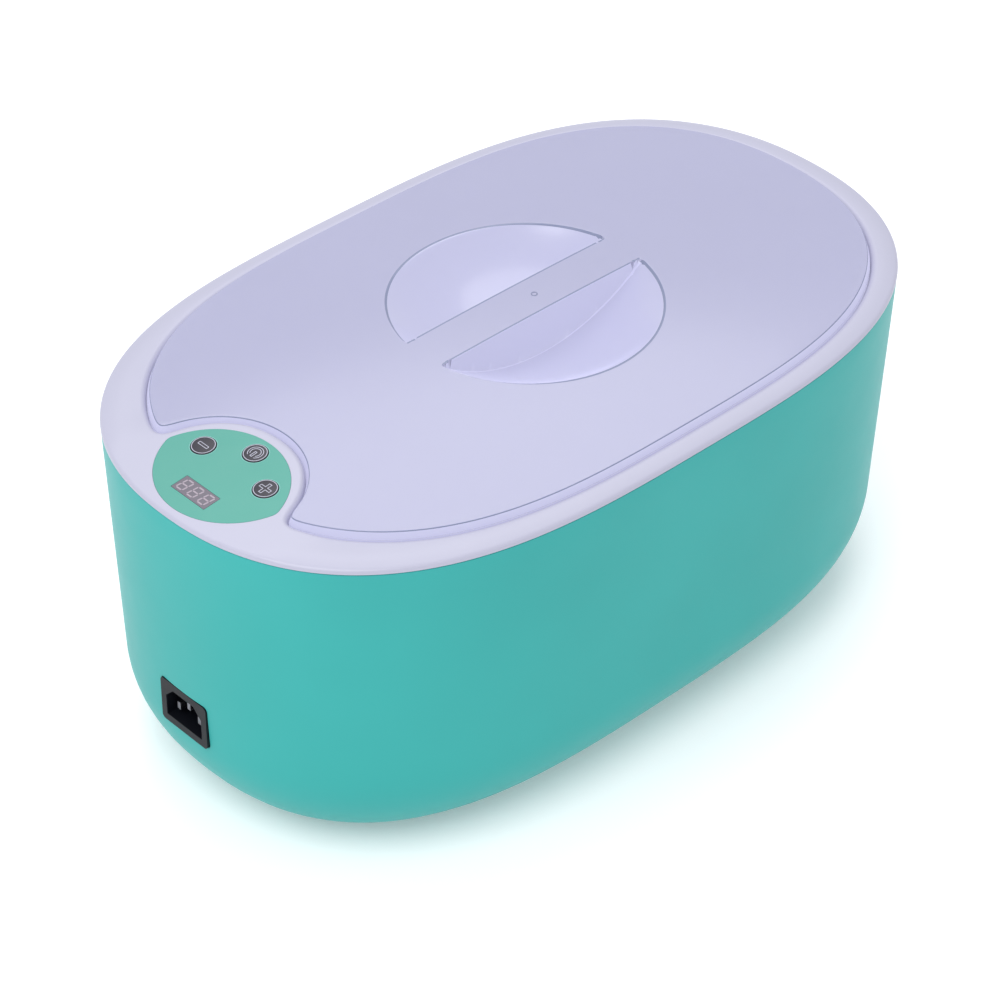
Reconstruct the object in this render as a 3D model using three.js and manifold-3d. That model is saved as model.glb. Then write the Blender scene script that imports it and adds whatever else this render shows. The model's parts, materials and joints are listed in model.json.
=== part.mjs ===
// Paraffin wax bath: a tapered oval tub with a white top frame, a lift-off lid and a heated pot.
// Millimetres, +Z up. The long side lies along Y, the control panel and the inlet face -Y.
import * as THREE from 'three';
import { mergeVertices } from 'three/addons/utils/BufferGeometryUtils.js';
import Module from 'manifold-3d';

const wasm = await Module();
wasm.setup();

// Overall oval, seen from above
const HALF_WIDTH = 121.1;
const HALF_LENGTH = 200;
const SIDE_POWER = 2.22;
const END_POWER = 3.21;

// Clearances and walls
const GAP = 0.3;
const TUB_WALL = 3;
const FRAME_WALL = 2.5;
const LID_WALL = 2;

// Heights
const TUB_BOTTOM_Z = 2.5;
const SEAM_Z = 173.4;
const RIM_Z = 175.15;
const CROWN_Z = 177.15;
const DECK_Z = 173;
const LID_EDGE_Z = 180;
const LID_CENTRE_Z = 185.6;

// Tub side: taper and bottom rounding
const SIDE_TAPER = 4.2;
const BOTTOM_ROUND_HEIGHT = 50.4;
const BOTTOM_ROUND_WIDTH = 46.1;

// Recess for the lid, and the lid
const LID_CENTRE_Y = 4.5;
const RECESS_HALF_WIDTH = 110.5;
const RECESS_HALF_LENGTH = 181.5;
const LID_SIDE_GAP = 1.7;
const POD_RADIUS = 40.5;
const POD_CENTRE_Y = -175.5;
const LID_NOTCH_RADIUS = 43;
const WELL_CENTRE_Y = 8.5;
const WELL_SPHERE_RADIUS = 100;
const WELL_SPHERE_Z = 262.35;
const GRIP_BAR_HALF_WIDTH = 11.45;

// Sloping control panel
const PANEL_Y = -165;
const PANEL_Z = 178.7;
const PANEL_TILT = THREE.MathUtils.degToRad(6);
const PANEL_ARC_RADIUS = 37;
const PANEL_ARC_OFFSET = 9.9;
const PANEL_MIDDLE = -3.7;
const OVERLAY_THICKNESS = 0.8;
const OVERLAY_RECESS = 1;
const POD_WALL = 2.8;
const BUTTON_RADIUS = 5.7;
const BUTTON_SPOTS = { minus: [-20.4, 3.3], power: [0, 15.1], plus: [20.4, 3.3] };
const DISPLAY_WIDTH = 21.6;
const DISPLAY_LENGTH = 9;
const DISPLAY_MIDDLE = -18.1;
const BOARD_DEPTH = 11.5;

// Inner pot
const POT_CENTRE_Y = 22;
const POT_HALF_WIDTH = 97;
const POT_HALF_LENGTH = 146;
const POT_WALL = 1.5;
const POT_FLANGE = 7;
const POT_TAPER = 4;
const POT_ROUND = 14;
const POT_BOTTOM_Z = 48.5;
const POT_FLANGE_Z = 168.4;
const POT_STUD_YS = [-50, 22, 94];

// Mains inlet
const INLET_Z = 60.9;
const INLET_FACE_Y = -196.4;
const INLET_FLANGE_WIDTH = 31;
const INLET_FLANGE_HEIGHT = 24;
const INLET_FLANGE_THICKNESS = 2;
const INLET_BODY_WIDTH = 27;
const INLET_BODY_HEIGHT = 19.6;
const INLET_BODY_BACK_Y = -174;

// Posts, feet and inner boards
const FRAME_POST_X = 42;
const FRAME_POST_Y = -140;
const FRAME_POST_TOP_Z = 146;
const FOOT_X = 50;
const FOOT_Y = 105;
const POWER_BOARD_Z = 26;
const POWER_BOARD_Y = -135;

const TUB_SEGMENTS = 48;
const POT_SEGMENTS = 36;
const WELL_SEGMENTS = 36;

const looks = {
  tub: { color: 0x5fbfb8, roughness: 0.4, metalness: 0 },
  frame: { color: 0xd9d9e8, roughness: 0.35, metalness: 0 },
  lid: { color: 0xc6c6e4, roughness: 0.2, metalness: 0 },
  overlay: { color: 0x74c0b0, roughness: 0.35, metalness: 0 },
  button: { color: 0x484452, roughness: 0.4, metalness: 0 },
  display: { color: 0x7d7682, roughness: 0.25, metalness: 0 },
  black: { color: 0x1c1e24, roughness: 0.45, metalness: 0 },
  rubber: { color: 0x2a2a2c, roughness: 0.8, metalness: 0 },
  silicone: { color: 0xe6e2da, roughness: 0.7, metalness: 0 },
  aluminium: { color: 0xc4c6c9, roughness: 0.35, metalness: 1 },
  steel: { color: 0xa7a9ad, roughness: 0.3, metalness: 1 },
  board: { color: 0x2f6a3c, roughness: 0.5, metalness: 0 },
  felt: { color: 0xe8e4dc, roughness: 0.95, metalness: 0 },
  orange: { color: 0xc4552b, roughness: 0.6, metalness: 0 },
  grille: { color: 0xf0f0f2, roughness: 0.45, metalness: 0 },
  blue: { color: 0x2a6fb8, roughness: 0.5, metalness: 0 },
  brown: { color: 0x6b4226, roughness: 0.5, metalness: 0 },
  green: { color: 0x4f9a3a, roughness: 0.5, metalness: 0 },
  grey: { color: 0x8a8d92, roughness: 0.5, metalness: 0 },
};

const model = new THREE.Group();
const panelFrame = new THREE.Group();
panelFrame.position.set(0, PANEL_Y, PANEL_Z);
panelFrame.rotation.x = PANEL_TILT;
panelFrame.updateMatrix();
model.add(panelFrame);

// ---- Solids ----

function toSolid(geometry) {
  const bare = geometry.clone();
  bare.deleteAttribute('normal');
  bare.deleteAttribute('uv');
  const merged = mergeVertices(bare, 1e-3);
  const corners = [];
  const at = (i) => new THREE.Vector3().fromBufferAttribute(merged.attributes.position, i);
  let volume = 0;
  for (let i = 0; i < merged.index.count; i += 3) {
    const [a, b, c] = [0, 1, 2].map((k) => merged.index.getX(i + k));
    if (a === b || b === c || c === a) continue;
    volume += at(a).dot(at(b).cross(at(c)));
    corners.push([a, b, c]);
  }
  const triVerts = new Uint32Array(corners.flatMap(([a, b, c]) => (volume > 0 ? [a, b, c] : [a, c, b])));
  const vertProperties = new Float32Array(merged.attributes.position.array);
  return new wasm.Manifold(new wasm.Mesh({ numProp: 3, vertProperties, triVerts }));
}

function toGeometry(solid) {
  const mesh = solid.getMesh();
  const geometry = new THREE.BufferGeometry();
  geometry.setAttribute('position', new THREE.BufferAttribute(mesh.vertProperties, 3));
  geometry.setIndex(new THREE.BufferAttribute(mesh.triVerts, 1));
  geometry.computeVertexNormals();
  return geometry;
}

function add(name, solid, look, parent = model) {
  const mesh = new THREE.Mesh(toGeometry(solid), new THREE.MeshStandardMaterial(looks[look]));
  mesh.name = name;
  parent.add(mesh);
  return mesh;
}

const joined = (first, ...rest) => rest.reduce((sum, next) => sum.add(next), first);
const cut = (first, ...rest) => rest.reduce((left, next) => left.subtract(next), first);

function cylinder(radius, bottom, top, x = 0, y = 0, sides = 16) {
  const geometry = new THREE.CylinderGeometry(radius, radius, top - bottom, sides);
  geometry.rotateX(Math.PI / 2);
  geometry.translate(x, y, (top + bottom) / 2);
  return toSolid(geometry);
}

function box(xs, ys, zs) {
  const geometry = new THREE.BoxGeometry(xs[1] - xs[0], ys[1] - ys[0], zs[1] - zs[0]);
  geometry.translate((xs[0] + xs[1]) / 2, (ys[0] + ys[1]) / 2, (zs[0] + zs[1]) / 2);
  return toSolid(geometry);
}

function prism(shape, bottom, top, curveSegments = 8) {
  const depth = top - bottom;
  const geometry = new THREE.ExtrudeGeometry(shape, { depth, bevelEnabled: false, curveSegments });
  geometry.translate(0, 0, bottom);
  return toSolid(geometry);
}

function turned(profile, sides = 16, x = 0, y = 0) {
  const points = profile.map(([radius, z]) => new THREE.Vector2(radius, z));
  const geometry = new THREE.LatheGeometry(points, sides);
  geometry.rotateX(Math.PI / 2);
  geometry.translate(x, y, 0);
  return toSolid(geometry);
}

// A wire: a round or flat section swept along a smooth route.
function swept(section, route, steps) {
  const extrudePath = new THREE.CatmullRomCurve3(route.map((p) => new THREE.Vector3(...p)));
  return toSolid(new THREE.ExtrudeGeometry(section, { steps, extrudePath, bevelEnabled: false }));
}

function polygonShape(points) {
  return new THREE.Shape(points.map(([x, y]) => new THREE.Vector2(x, y)));
}

function roundShape(radius, sides = 8) {
  const spots = [];
  for (let i = 0; i < sides; i += 1) {
    const angle = (2 * Math.PI * i) / sides;
    spots.push([radius * Math.cos(angle), radius * Math.sin(angle)]);
  }
  return polygonShape(spots);
}

function roundedRectangle(width, height, radius) {
  const shape = new THREE.Shape();
  const x = width / 2;
  const y = height / 2;
  shape.moveTo(x, -y + radius);
  shape.lineTo(x, y - radius);
  shape.absarc(x - radius, y - radius, radius, 0, Math.PI / 2, false);
  shape.lineTo(-x + radius, y);
  shape.absarc(-x + radius, y - radius, radius, Math.PI / 2, Math.PI, false);
  shape.lineTo(-x, -y + radius);
  shape.absarc(-x + radius, -y + radius, radius, Math.PI, 1.5 * Math.PI, false);
  shape.lineTo(x - radius, -y);
  shape.absarc(x - radius, -y + radius, radius, 1.5 * Math.PI, 2 * Math.PI, false);
  return shape;
}

// ---- Ovals ----

// The oval is a Lame curve: rounder along the sides, squarer at the ends.
class Oval extends THREE.Curve {
  constructor(halfWidth, halfLength, centreY = 0) {
    super();
    Object.assign(this, { halfWidth, halfLength, centreY });
  }

  getPoint(t, target = new THREE.Vector3()) {
    const angle = 2 * Math.PI * t;
    const across = Math.sign(Math.cos(angle)) * Math.abs(Math.cos(angle)) ** (2 / SIDE_POWER);
    const along = Math.sign(Math.sin(angle)) * Math.abs(Math.sin(angle)) ** (2 / END_POWER);
    return target.set(this.halfWidth * across, this.centreY + this.halfLength * along, 0);
  }
}

const tubOval = new Oval(HALF_WIDTH, HALF_LENGTH);

// Half width of an oval at a height y along its long axis.
function ovalX(halfWidth, halfLength, centreY, y) {
  const along = Math.min(1, Math.abs(y - centreY) / halfLength) ** (END_POWER / 2);
  return halfWidth * Math.sqrt(1 - along * along) ** (2 / SIDE_POWER);
}

// A solid of oval rings: each is { halfWidth, halfLength, z }, a missing width being the axis.
function ovalRings(rings, segments, centreY = 0, lift = null) {
  const points = rings.map((ring) => new THREE.Vector2(ring.halfWidth ?? 0, ring.z));
  const geometry = new THREE.LatheGeometry(points, segments);
  geometry.rotateX(Math.PI / 2);
  const position = geometry.attributes.position;
  for (let i = 0; i <= segments; i += 1) {
    const t = tubOval.getUtoTmapping((i % segments) / segments);
    rings.forEach((ring, j) => {
      const oval = new Oval(ring.halfWidth ?? 0, ring.halfLength ?? 0, centreY);
      const spot = oval.getPoint(t);
      const z = lift && ring.lifted ? lift(spot.x, spot.y, ring.z) : ring.z;
      position.setXYZ(i * rings.length + j, spot.x, spot.y, z);
    });
  }
  return toSolid(geometry);
}

const inset = (distance, z, lifted = false) => ({
  halfWidth: HALF_WIDTH - distance,
  halfLength: HALF_LENGTH - distance,
  z,
  lifted,
});

const potRing = (distance, z) => ({
  halfWidth: POT_HALF_WIDTH + distance,
  halfLength: POT_HALF_LENGTH + distance,
  z,
});

const onAxis = (z, lifted = false) => ({ z, lifted });

// Closed ring between two insets of the tub's oval.
function ovalBand(outer, inner, bottom, top) {
  const rings = [inset(outer, bottom), inset(outer, top), inset(inner, top), inset(inner, bottom)];
  return ovalRings([...rings, rings[0]], TUB_SEGMENTS);
}

function potBand(outer, inner, bottom, top, outerTop = outer) {
  const outside = [potRing(outer, bottom), potRing(outerTop, top)];
  const inside = [potRing(inner, top), potRing(inner, bottom)];
  return ovalRings([...outside, ...inside, outside[0]], POT_SEGMENTS, POT_CENTRE_Y);
}

function potDisc(distance, bottom, top) {
  return ovalRings([onAxis(bottom), potRing(distance, bottom), potRing(distance, top), onAxis(top)],
    POT_SEGMENTS, POT_CENTRE_Y);
}

function sidewallInset(z) {
  const taperBottom = TUB_BOTTOM_Z + BOTTOM_ROUND_HEIGHT;
  return SIDE_TAPER * (SEAM_Z - z) / (SEAM_Z - taperBottom);
}

// ---- Tub ----

function tubProfile(wall, topZ) {
  const rings = [];
  const steps = 5;
  for (let i = 0; i <= steps; i += 1) {
    const angle = (Math.PI / 2) * (1 - i / steps);
    const inwards = SIDE_TAPER + wall + (BOTTOM_ROUND_WIDTH - wall) * (1 - Math.cos(angle));
    const rise = wall + (BOTTOM_ROUND_HEIGHT - wall) * (1 - Math.sin(angle));
    rings.push(inset(inwards, TUB_BOTTOM_Z + rise));
  }
  rings.push(inset(sidewallInset(topZ) + wall, topZ));
  return rings;
}

// A prism along Y, its section standing in the X-Z plane about the inlet's middle.
function alongY(shape, fromY, toY, curveSegments = 4, centreZ = INLET_Z) {
  const depth = toY - fromY;
  const geometry = new THREE.ExtrudeGeometry(shape, { depth, bevelEnabled: false, curveSegments });
  geometry.rotateX(Math.PI / 2);
  geometry.translate(0, toY, centreZ);
  return toSolid(geometry);
}

function outerHousing() {
  const topZ = SEAM_Z - GAP;
  const outside = tubProfile(0, topZ);
  const inside = tubProfile(TUB_WALL, topZ).reverse();
  let tub = ovalRings([onAxis(TUB_BOTTOM_Z), ...outside, ...inside, onAxis(TUB_BOTTOM_Z + TUB_WALL)],
    TUB_SEGMENTS);
  for (const side of [-1, 1]) {
    const x = side * FRAME_POST_X;
    tub = joined(tub, cylinder(5.5, TUB_BOTTOM_Z + 2, FRAME_POST_TOP_Z, x, FRAME_POST_Y));
    tub = cut(tub, cylinder(3.9, -1, FRAME_POST_TOP_Z - 6, x, FRAME_POST_Y, 12));
    tub = cut(tub, cylinder(2.1, 0, FRAME_POST_TOP_Z + 1, x, FRAME_POST_Y, 12));
    for (const y of [POWER_BOARD_Y - 19, POWER_BOARD_Y + 19]) {
      tub = joined(tub, cylinder(3, TUB_BOTTOM_Z + 2, POWER_BOARD_Z - GAP, side * 29, y, 10));
    }
    for (const y of [-FOOT_Y, FOOT_Y]) {
      tub = cut(tub, cylinder(8, 0, TUB_BOTTOM_Z + 1.5, side * FOOT_X, y));
    }
  }
  // Groove that holds the frame's snap hooks
  tub = cut(tub, ovalBand(2.2, 4.5, 165.5, 168.3));
  // Opening and flange seat of the inlet
  const opening = roundedRectangle(INLET_BODY_WIDTH + 0.8, INLET_BODY_HEIGHT + 0.8, 1);
  const seat = roundedRectangle(INLET_FLANGE_WIDTH + 0.6, INLET_FLANGE_HEIGHT + 0.6, 2.5);
  const seatBackY = INLET_FACE_Y + INLET_FLANGE_THICKNESS + GAP;
  tub = cut(tub, alongY(opening, -205, -185), alongY(seat, -205, seatBackY));
  // Ventilation slots through the floor, under the power board
  for (let i = -3; i <= 3; i += 1) {
    tub = cut(tub, box([i * 7 - 1.25, i * 7 + 1.25], [-118, -92], [0, TUB_BOTTOM_Z + TUB_WALL + 1]));
  }
  return tub;
}

// ---- Top frame ----

function panelPlaneZ(y) {
  return PANEL_Z + Math.tan(PANEL_TILT) * (y - PANEL_Y);
}

// Top surface of the frame: a low crown all round, turning into the sloping panel at the front.
function frameTopZ(x, y, drop) {
  const ring = Math.min(1, Math.max(0, crownShare(x, y)));
  const crown = RIM_Z + (CROWN_Z - RIM_Z) * Math.sin((Math.PI / 2) * ring);
  const sideways = THREE.MathUtils.smoothstep(62 - Math.abs(x), 0, 20);
  const forwards = THREE.MathUtils.smoothstep(-y, 120, 140);
  return THREE.MathUtils.lerp(crown, panelPlaneZ(y), sideways * forwards) + drop;
}

// 0 at the outer edge, 1 at 9 mm inside it.
function crownShare(x, y) {
  const reach = Math.abs(x / HALF_WIDTH) ** SIDE_POWER + Math.abs(y / HALF_LENGTH) ** END_POWER;
  return (1 - reach) * HALF_WIDTH / (9 * SIDE_POWER);
}

function podShape(radius) {
  const shape = new THREE.Shape();
  shape.absarc(0, POD_CENTRE_Y, radius, 0, Math.PI, false);
  shape.lineTo(-radius, -230);
  shape.lineTo(radius, -230);
  return shape;
}

function panelShape(grow = 0) {
  const radius = PANEL_ARC_RADIUS + grow;
  const corner = 6 + grow;
  const reach = radius - corner;
  const cornerX = Math.sqrt(reach * reach - PANEL_ARC_OFFSET * PANEL_ARC_OFFSET);
  const tangent = Math.atan2(PANEL_ARC_OFFSET, cornerX);
  const upper = PANEL_MIDDLE - PANEL_ARC_OFFSET;
  const lower = PANEL_MIDDLE + PANEL_ARC_OFFSET;
  const shape = new THREE.Shape();
  shape.absarc(0, upper, radius, tangent, Math.PI - tangent, false);
  shape.absarc(-cornerX, PANEL_MIDDLE, corner, Math.PI - tangent, Math.PI + tangent, false);
  shape.absarc(0, lower, radius, Math.PI + tangent, 2 * Math.PI - tangent, false);
  shape.absarc(cornerX, PANEL_MIDDLE, corner, -tangent, tangent, false);
  return shape;
}

const inPanel = (solid) => solid.transform(panelFrame.matrix.elements);

function displayBox(grow, bottom, top) {
  const halfWidth = DISPLAY_WIDTH / 2 + grow;
  const halfLength = DISPLAY_LENGTH / 2 + grow;
  const ys = [DISPLAY_MIDDLE - halfLength, DISPLAY_MIDDLE + halfLength];
  return box([-halfWidth, halfWidth], ys, [bottom, top]);
}

const lidOval = (grow, z) => ({
  halfWidth: RECESS_HALF_WIDTH + grow,
  halfLength: RECESS_HALF_LENGTH + grow,
  z,
});

function recessVolume(grow, podRadius, bottom, top) {
  const oval = ovalRings([onAxis(bottom), lidOval(grow, bottom), lidOval(grow, top), onAxis(top)],
    TUB_SEGMENTS, LID_CENTRE_Y);
  return cut(oval, prism(podShape(podRadius), bottom - 1, top + 1, 16));
}

const clampSpots = [-45, 85].flatMap((y) => [-1, 1].map((side) => {
  const halfWidth = ovalX(POT_HALF_WIDTH + POT_FLANGE, POT_HALF_LENGTH + POT_FLANGE, POT_CENTRE_Y, y);
  return { side, y, x: side * (halfWidth + 4.8) };
}));

function bezel() {
  const edge = [inset(0, SEAM_Z), inset(0, -1.2, true), inset(0.45, -0.35, true), inset(1.5, 0, true)];
  const deck = [5, 9, 16, 30, 45].map((distance) => inset(distance, 0, true));
  const underside = [onAxis(DECK_Z - FRAME_WALL), inset(5.6, DECK_Z - FRAME_WALL), inset(5.6, SEAM_Z)];
  let frame = ovalRings([...underside, ...edge, ...deck, onAxis(0, true)], TUB_SEGMENTS, 0, frameTopZ);
  frame = cut(frame, recessVolume(0, POD_RADIUS, DECK_Z, 200));
  frame = joined(frame, ovalBand(3.4, 5.6, 163, SEAM_Z + 0.5));
  // Snap hooks on the skirt
  for (const angle of [0.35, 1.2, 1.94, 2.79, 3.49, 5.93]) {
    const spot = tubOval.getPoint(angle / (2 * Math.PI));
    const hook = ovalBand(2.6, 4.5, 166, 167.8);
    frame = joined(frame, hook.intersect(cylinder(7, 160, 170, spot.x, spot.y, 8)));
  }
  // Lightening channel under the crown, pot opening and the hollow behind the panel
  const underPod = box([-60, 60], [-210, -120], [160, 180]);
  frame = cut(frame, ovalBand(5.6, 8.4, 165, CROWN_Z - 3.4).subtract(underPod));
  const opening = [onAxis(165), potRing(-1, 165), potRing(-1, 180), onAxis(180)];
  frame = cut(frame, ovalRings(opening, TUB_SEGMENTS, POT_CENTRE_Y));
  const shell = [onAxis(160), inset(6, 160), inset(6, 200), onAxis(200)];
  const hollow = ovalRings(shell, TUB_SEGMENTS).intersect(prism(podShape(POD_RADIUS - 2.5), 160, 200, 16));
  frame = cut(frame, hollow.intersect(inPanel(box([-60, 60], [-60, 60], [-60, -POD_WALL]))));
  for (const side of [-1, 1]) {
    const boss = cylinder(4.2, FRAME_POST_TOP_Z + GAP, DECK_Z - 1, side * FRAME_POST_X, FRAME_POST_Y);
    const pilot = cylinder(2.1, FRAME_POST_TOP_Z - 1, DECK_Z - 4, side * FRAME_POST_X, FRAME_POST_Y, 12);
    frame = cut(joined(frame, boss), pilot);
    const boardBoss = inPanel(cylinder(3, GAP - BOARD_DEPTH, 0.5 - POD_WALL, side * 22, -15, 12));
    const boardPilot = inPanel(cylinder(1.5, -BOARD_DEPTH - 1, -POD_WALL - 0.5, side * 22, -15, 10));
    frame = cut(joined(frame, boardBoss), boardPilot);
  }
  for (const { x, y } of clampSpots) {
    const boss = cylinder(3.6, POT_FLANGE_Z - POT_WALL, DECK_Z - 1, x, y, 12);
    frame = cut(joined(frame, boss), cylinder(1.6, 160, DECK_Z - 1.2, x, y, 10));
  }
  // Overlay seat, button holes and display window
  frame = cut(frame, inPanel(prism(panelShape(GAP), -OVERLAY_RECESS, 6, 9)));
  for (const [x, y] of Object.values(BUTTON_SPOTS)) {
    frame = cut(frame, inPanel(cylinder(BUTTON_RADIUS + 0.35, -8, 1, x, y, 20)));
  }
  return cut(frame, inPanel(displayBox(GAP, -8, 1)));
}

// ---- Control panel ----

function overlay() {
  const bottom = GAP - OVERLAY_RECESS;
  let sheet = prism(panelShape(), bottom, bottom + OVERLAY_THICKNESS, 9);
  for (const [x, y] of Object.values(BUTTON_SPOTS)) {
    sheet = cut(sheet, cylinder(BUTTON_RADIUS + GAP, -5, 5, x, y, 20));
  }
  return cut(sheet, displayBox(GAP, -5, 5));
}

function button(x, y) {
  const top = 0.45;
  const flangeTop = -POD_WALL - GAP;
  return turned([
    [0, top], [BUTTON_RADIUS - 0.8, top - 0.05], [BUTTON_RADIUS, top - 0.45],
    [BUTTON_RADIUS, flangeTop], [7, flangeTop], [7, flangeTop - 1],
    [2.2, flangeTop - 1], [2.2, -6], [0, -6],
  ], 20, x, y);
}

function tactSwitch(x, y) {
  const bodyBottom = GAP - BOARD_DEPTH;
  const body = box([x - 3, x + 3], [y - 3, y + 3], [bodyBottom, bodyBottom + 3.4]);
  return joined(body, cylinder(1.75, bodyBottom + 3, -6.6, x, y, 12));
}

function controlBoard() {
  const board = box([-28, 28], [-21, 19], [-BOARD_DEPTH - 1.6, -BOARD_DEPTH]);
  return cut(board, ...[-22, 22].map((x) => cylinder(1.8, -20, 0, x, -15, 10)));
}

// Pan-head screw standing with its head down, its head's upper face at z.
function screw(x, y, z, shankRadius, length, headRadius, headHeight) {
  return turned([
    [0, z - headHeight], [headRadius * 0.75, z - headHeight], [headRadius, z - headHeight * 0.45],
    [headRadius, z], [shankRadius, z], [shankRadius, z + length - 1.5], [shankRadius * 0.3, z + length],
    [0, z + length],
  ], 10, x, y);
}

// ---- Lid ----

function lidBody(shrink, bottom) {
  const grow = -LID_SIDE_GAP - shrink;
  const halfWidth = RECESS_HALF_WIDTH + grow;
  const rings = [onAxis(bottom), lidOval(grow, bottom), lidOval(grow, LID_EDGE_Z - 1.4 - shrink)];
  rings.push(lidOval(grow - 0.4, LID_EDGE_Z - 0.4 - shrink), lidOval(grow - 1.4, LID_EDGE_Z - shrink));
  for (const share of [0.88, 0.7, 0.45, 0.2]) {
    const dome = (LID_CENTRE_Z - LID_EDGE_Z) * (1 - share * share);
    rings.push({
      halfWidth: halfWidth * share,
      halfLength: (RECESS_HALF_LENGTH + grow) * share,
      z: LID_EDGE_Z + dome - shrink,
    });
  }
  rings.push(onAxis(LID_CENTRE_Z - shrink));
  return ovalRings(rings, TUB_SEGMENTS, LID_CENTRE_Y);
}

// Lower cap of the large sphere that shapes the finger wells.
function wellBowl(radius) {
  const profile = [];
  const steps = 8;
  for (let i = 0; i <= steps; i += 1) {
    const angle = (i / steps) * 0.78;
    profile.push([radius * Math.sin(angle), WELL_SPHERE_Z - radius * Math.cos(angle)]);
  }
  profile.push([radius * Math.sin(0.78), LID_CENTRE_Z + 20], [0, LID_CENTRE_Z + 20]);
  return turned(profile, WELL_SEGMENTS, 0, WELL_CENTRE_Y);
}

function wellHalf(radius, barHalfWidth, side) {
  const halfX = side < 0 ? [-80, -barHalfWidth] : [barHalfWidth, 80];
  return wellBowl(radius).intersect(box(halfX, [-90, 110], [150, LID_CENTRE_Z + 15]));
}

function lid() {
  const bottom = DECK_Z + GAP;
  const notch = prism(podShape(LID_NOTCH_RADIUS), 160, 200, 18);
  const innerNotch = prism(podShape(LID_NOTCH_RADIUS + LID_WALL), 160, 200, 18);
  const inside = cut(lidBody(LID_WALL, bottom - 1), innerNotch);
  let cap = cut(lidBody(0, bottom), notch, inside);
  for (const side of [-1, 1]) {
    const bowl = wellHalf(WELL_SPHERE_RADIUS + LID_WALL, GRIP_BAR_HALF_WIDTH - LID_WALL, side);
    cap = joined(cap, bowl.intersect(lidBody(0, 150)));
  }
  for (const side of [-1, 1]) {
    cap = cut(cap, wellHalf(WELL_SPHERE_RADIUS, GRIP_BAR_HALF_WIDTH, side));
  }
  return cap;
}

// ---- Pot and heater ----

function innerPot() {
  const rings = [onAxis(POT_BOTTOM_Z)];
  const walls = [[0, 0], [POT_WALL, POT_WALL]];
  const sides = walls.map(([inwards, rise]) => {
    const side = [];
    for (let i = 0; i <= 3; i += 1) {
      const angle = (Math.PI / 2) * (1 - i / 3);
      const radius = POT_ROUND - inwards;
      const distance = -POT_TAPER - inwards - radius * (1 - Math.cos(angle));
      side.push(potRing(distance, POT_BOTTOM_Z + rise + radius * (1 - Math.sin(angle))));
    }
    return side;
  });
  const underFlange = POT_FLANGE_Z - POT_WALL;
  rings.push(...sides[0], potRing(0, underFlange), potRing(POT_FLANGE, underFlange));
  rings.push(potRing(POT_FLANGE, POT_FLANGE_Z), potRing(-POT_WALL, POT_FLANGE_Z));
  rings.push(...sides[1].reverse(), onAxis(POT_BOTTOM_Z + POT_WALL));
  let pot = ovalRings(rings, POT_SEGMENTS, POT_CENTRE_Y);
  for (const y of POT_STUD_YS) {
    pot = joined(pot, cylinder(2, POT_BOTTOM_Z - 9, POT_BOTTOM_Z + 0.5, 0, y, 10));
  }
  return pot;
}

function heaterLayer(distance, bottom, top) {
  const holes = POT_STUD_YS.map((y) => cylinder(2.4, bottom - 1, top + 1, 0, y, 10));
  return cut(potDisc(distance, bottom, top), ...holes, cylinder(4.5, bottom - 1, top + 1, 30, -30, 12));
}

function grille() {
  const floor = POT_BOTTOM_Z + POT_WALL;
  const bottom = floor + 7;
  const top = bottom + 3;
  let plate = potDisc(-21, bottom, top);
  for (let row = -8; row <= 8; row += 1) {
    const y = POT_CENTRE_Y + row * 14;
    const reach = ovalX(POT_HALF_WIDTH - 28, POT_HALF_LENGTH - 28, POT_CENTRE_Y, y + Math.sign(row) * 3);
    for (const side of [-1, 1]) {
      const slot = [side * 5, side * reach].sort((a, b) => a - b);
      plate = cut(plate, box(slot, [y - 3, y + 3], [bottom - 1, top + 1]));
    }
  }
  for (const x of [-55, 55]) {
    for (const y of [POT_CENTRE_Y - 63, POT_CENTRE_Y + 63]) {
      plate = joined(plate, cylinder(3.5, floor + GAP, bottom + 1, x, y, 10));
    }
  }
  return plate;
}

// ---- Inlet ----

function inletCavity() {
  const x = 12;
  const y = 8;
  const chamfer = 5;
  const right = [[x, -y], [x, y - chamfer], [x - chamfer, y]];
  const left = [[-x + chamfer, y], [-x, y - chamfer], [-x, -y]];
  return polygonShape([...right, ...left]);
}

const INLET_PINS = { live: [-7, -2], neutral: [7, -2], earth: [0, 2] };

function inletHousing() {
  const flange = roundedRectangle(INLET_FLANGE_WIDTH, INLET_FLANGE_HEIGHT, 2.2);
  const body = roundedRectangle(INLET_BODY_WIDTH, INLET_BODY_HEIGHT, 0.8);
  let housing = joined(
    alongY(flange, INLET_FACE_Y, INLET_FACE_Y + INLET_FLANGE_THICKNESS),
    alongY(body, INLET_FACE_Y + 1, INLET_BODY_BACK_Y),
  );
  housing = cut(housing, alongY(inletCavity(), INLET_FACE_Y - 1, INLET_FACE_Y + 15));
  for (const [x, z] of Object.values(INLET_PINS)) {
    housing = cut(housing, box([x - 1.3, x + 1.3], [-185, -170], [INLET_Z + z - 2.3, INLET_Z + z + 2.3]));
  }
  return housing;
}

function inletPin(x, z) {
  const blade = [INLET_FACE_Y + 3, -167.5];
  return box([x - 1, x + 1], blade, [INLET_Z + z - 2, INLET_Z + z + 2]);
}

// ---- Build ----

add('outer_housing', outerHousing(), 'tub');

for (const [end, y] of [['front', -FOOT_Y], ['back', FOOT_Y]]) {
  for (const [hand, side] of [['left', -1], ['right', 1]]) {
    const foot = turned([
      [0, 0], [6.4, 0], [7.2, 0.8], [7.6, TUB_BOTTOM_Z + 1.5 - GAP], [0, TUB_BOTTOM_Z + 1.5 - GAP],
    ], 20, side * FOOT_X, y);
    add(`rubber_foot_${end}_${hand}`, foot, 'rubber');
  }
}

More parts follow.
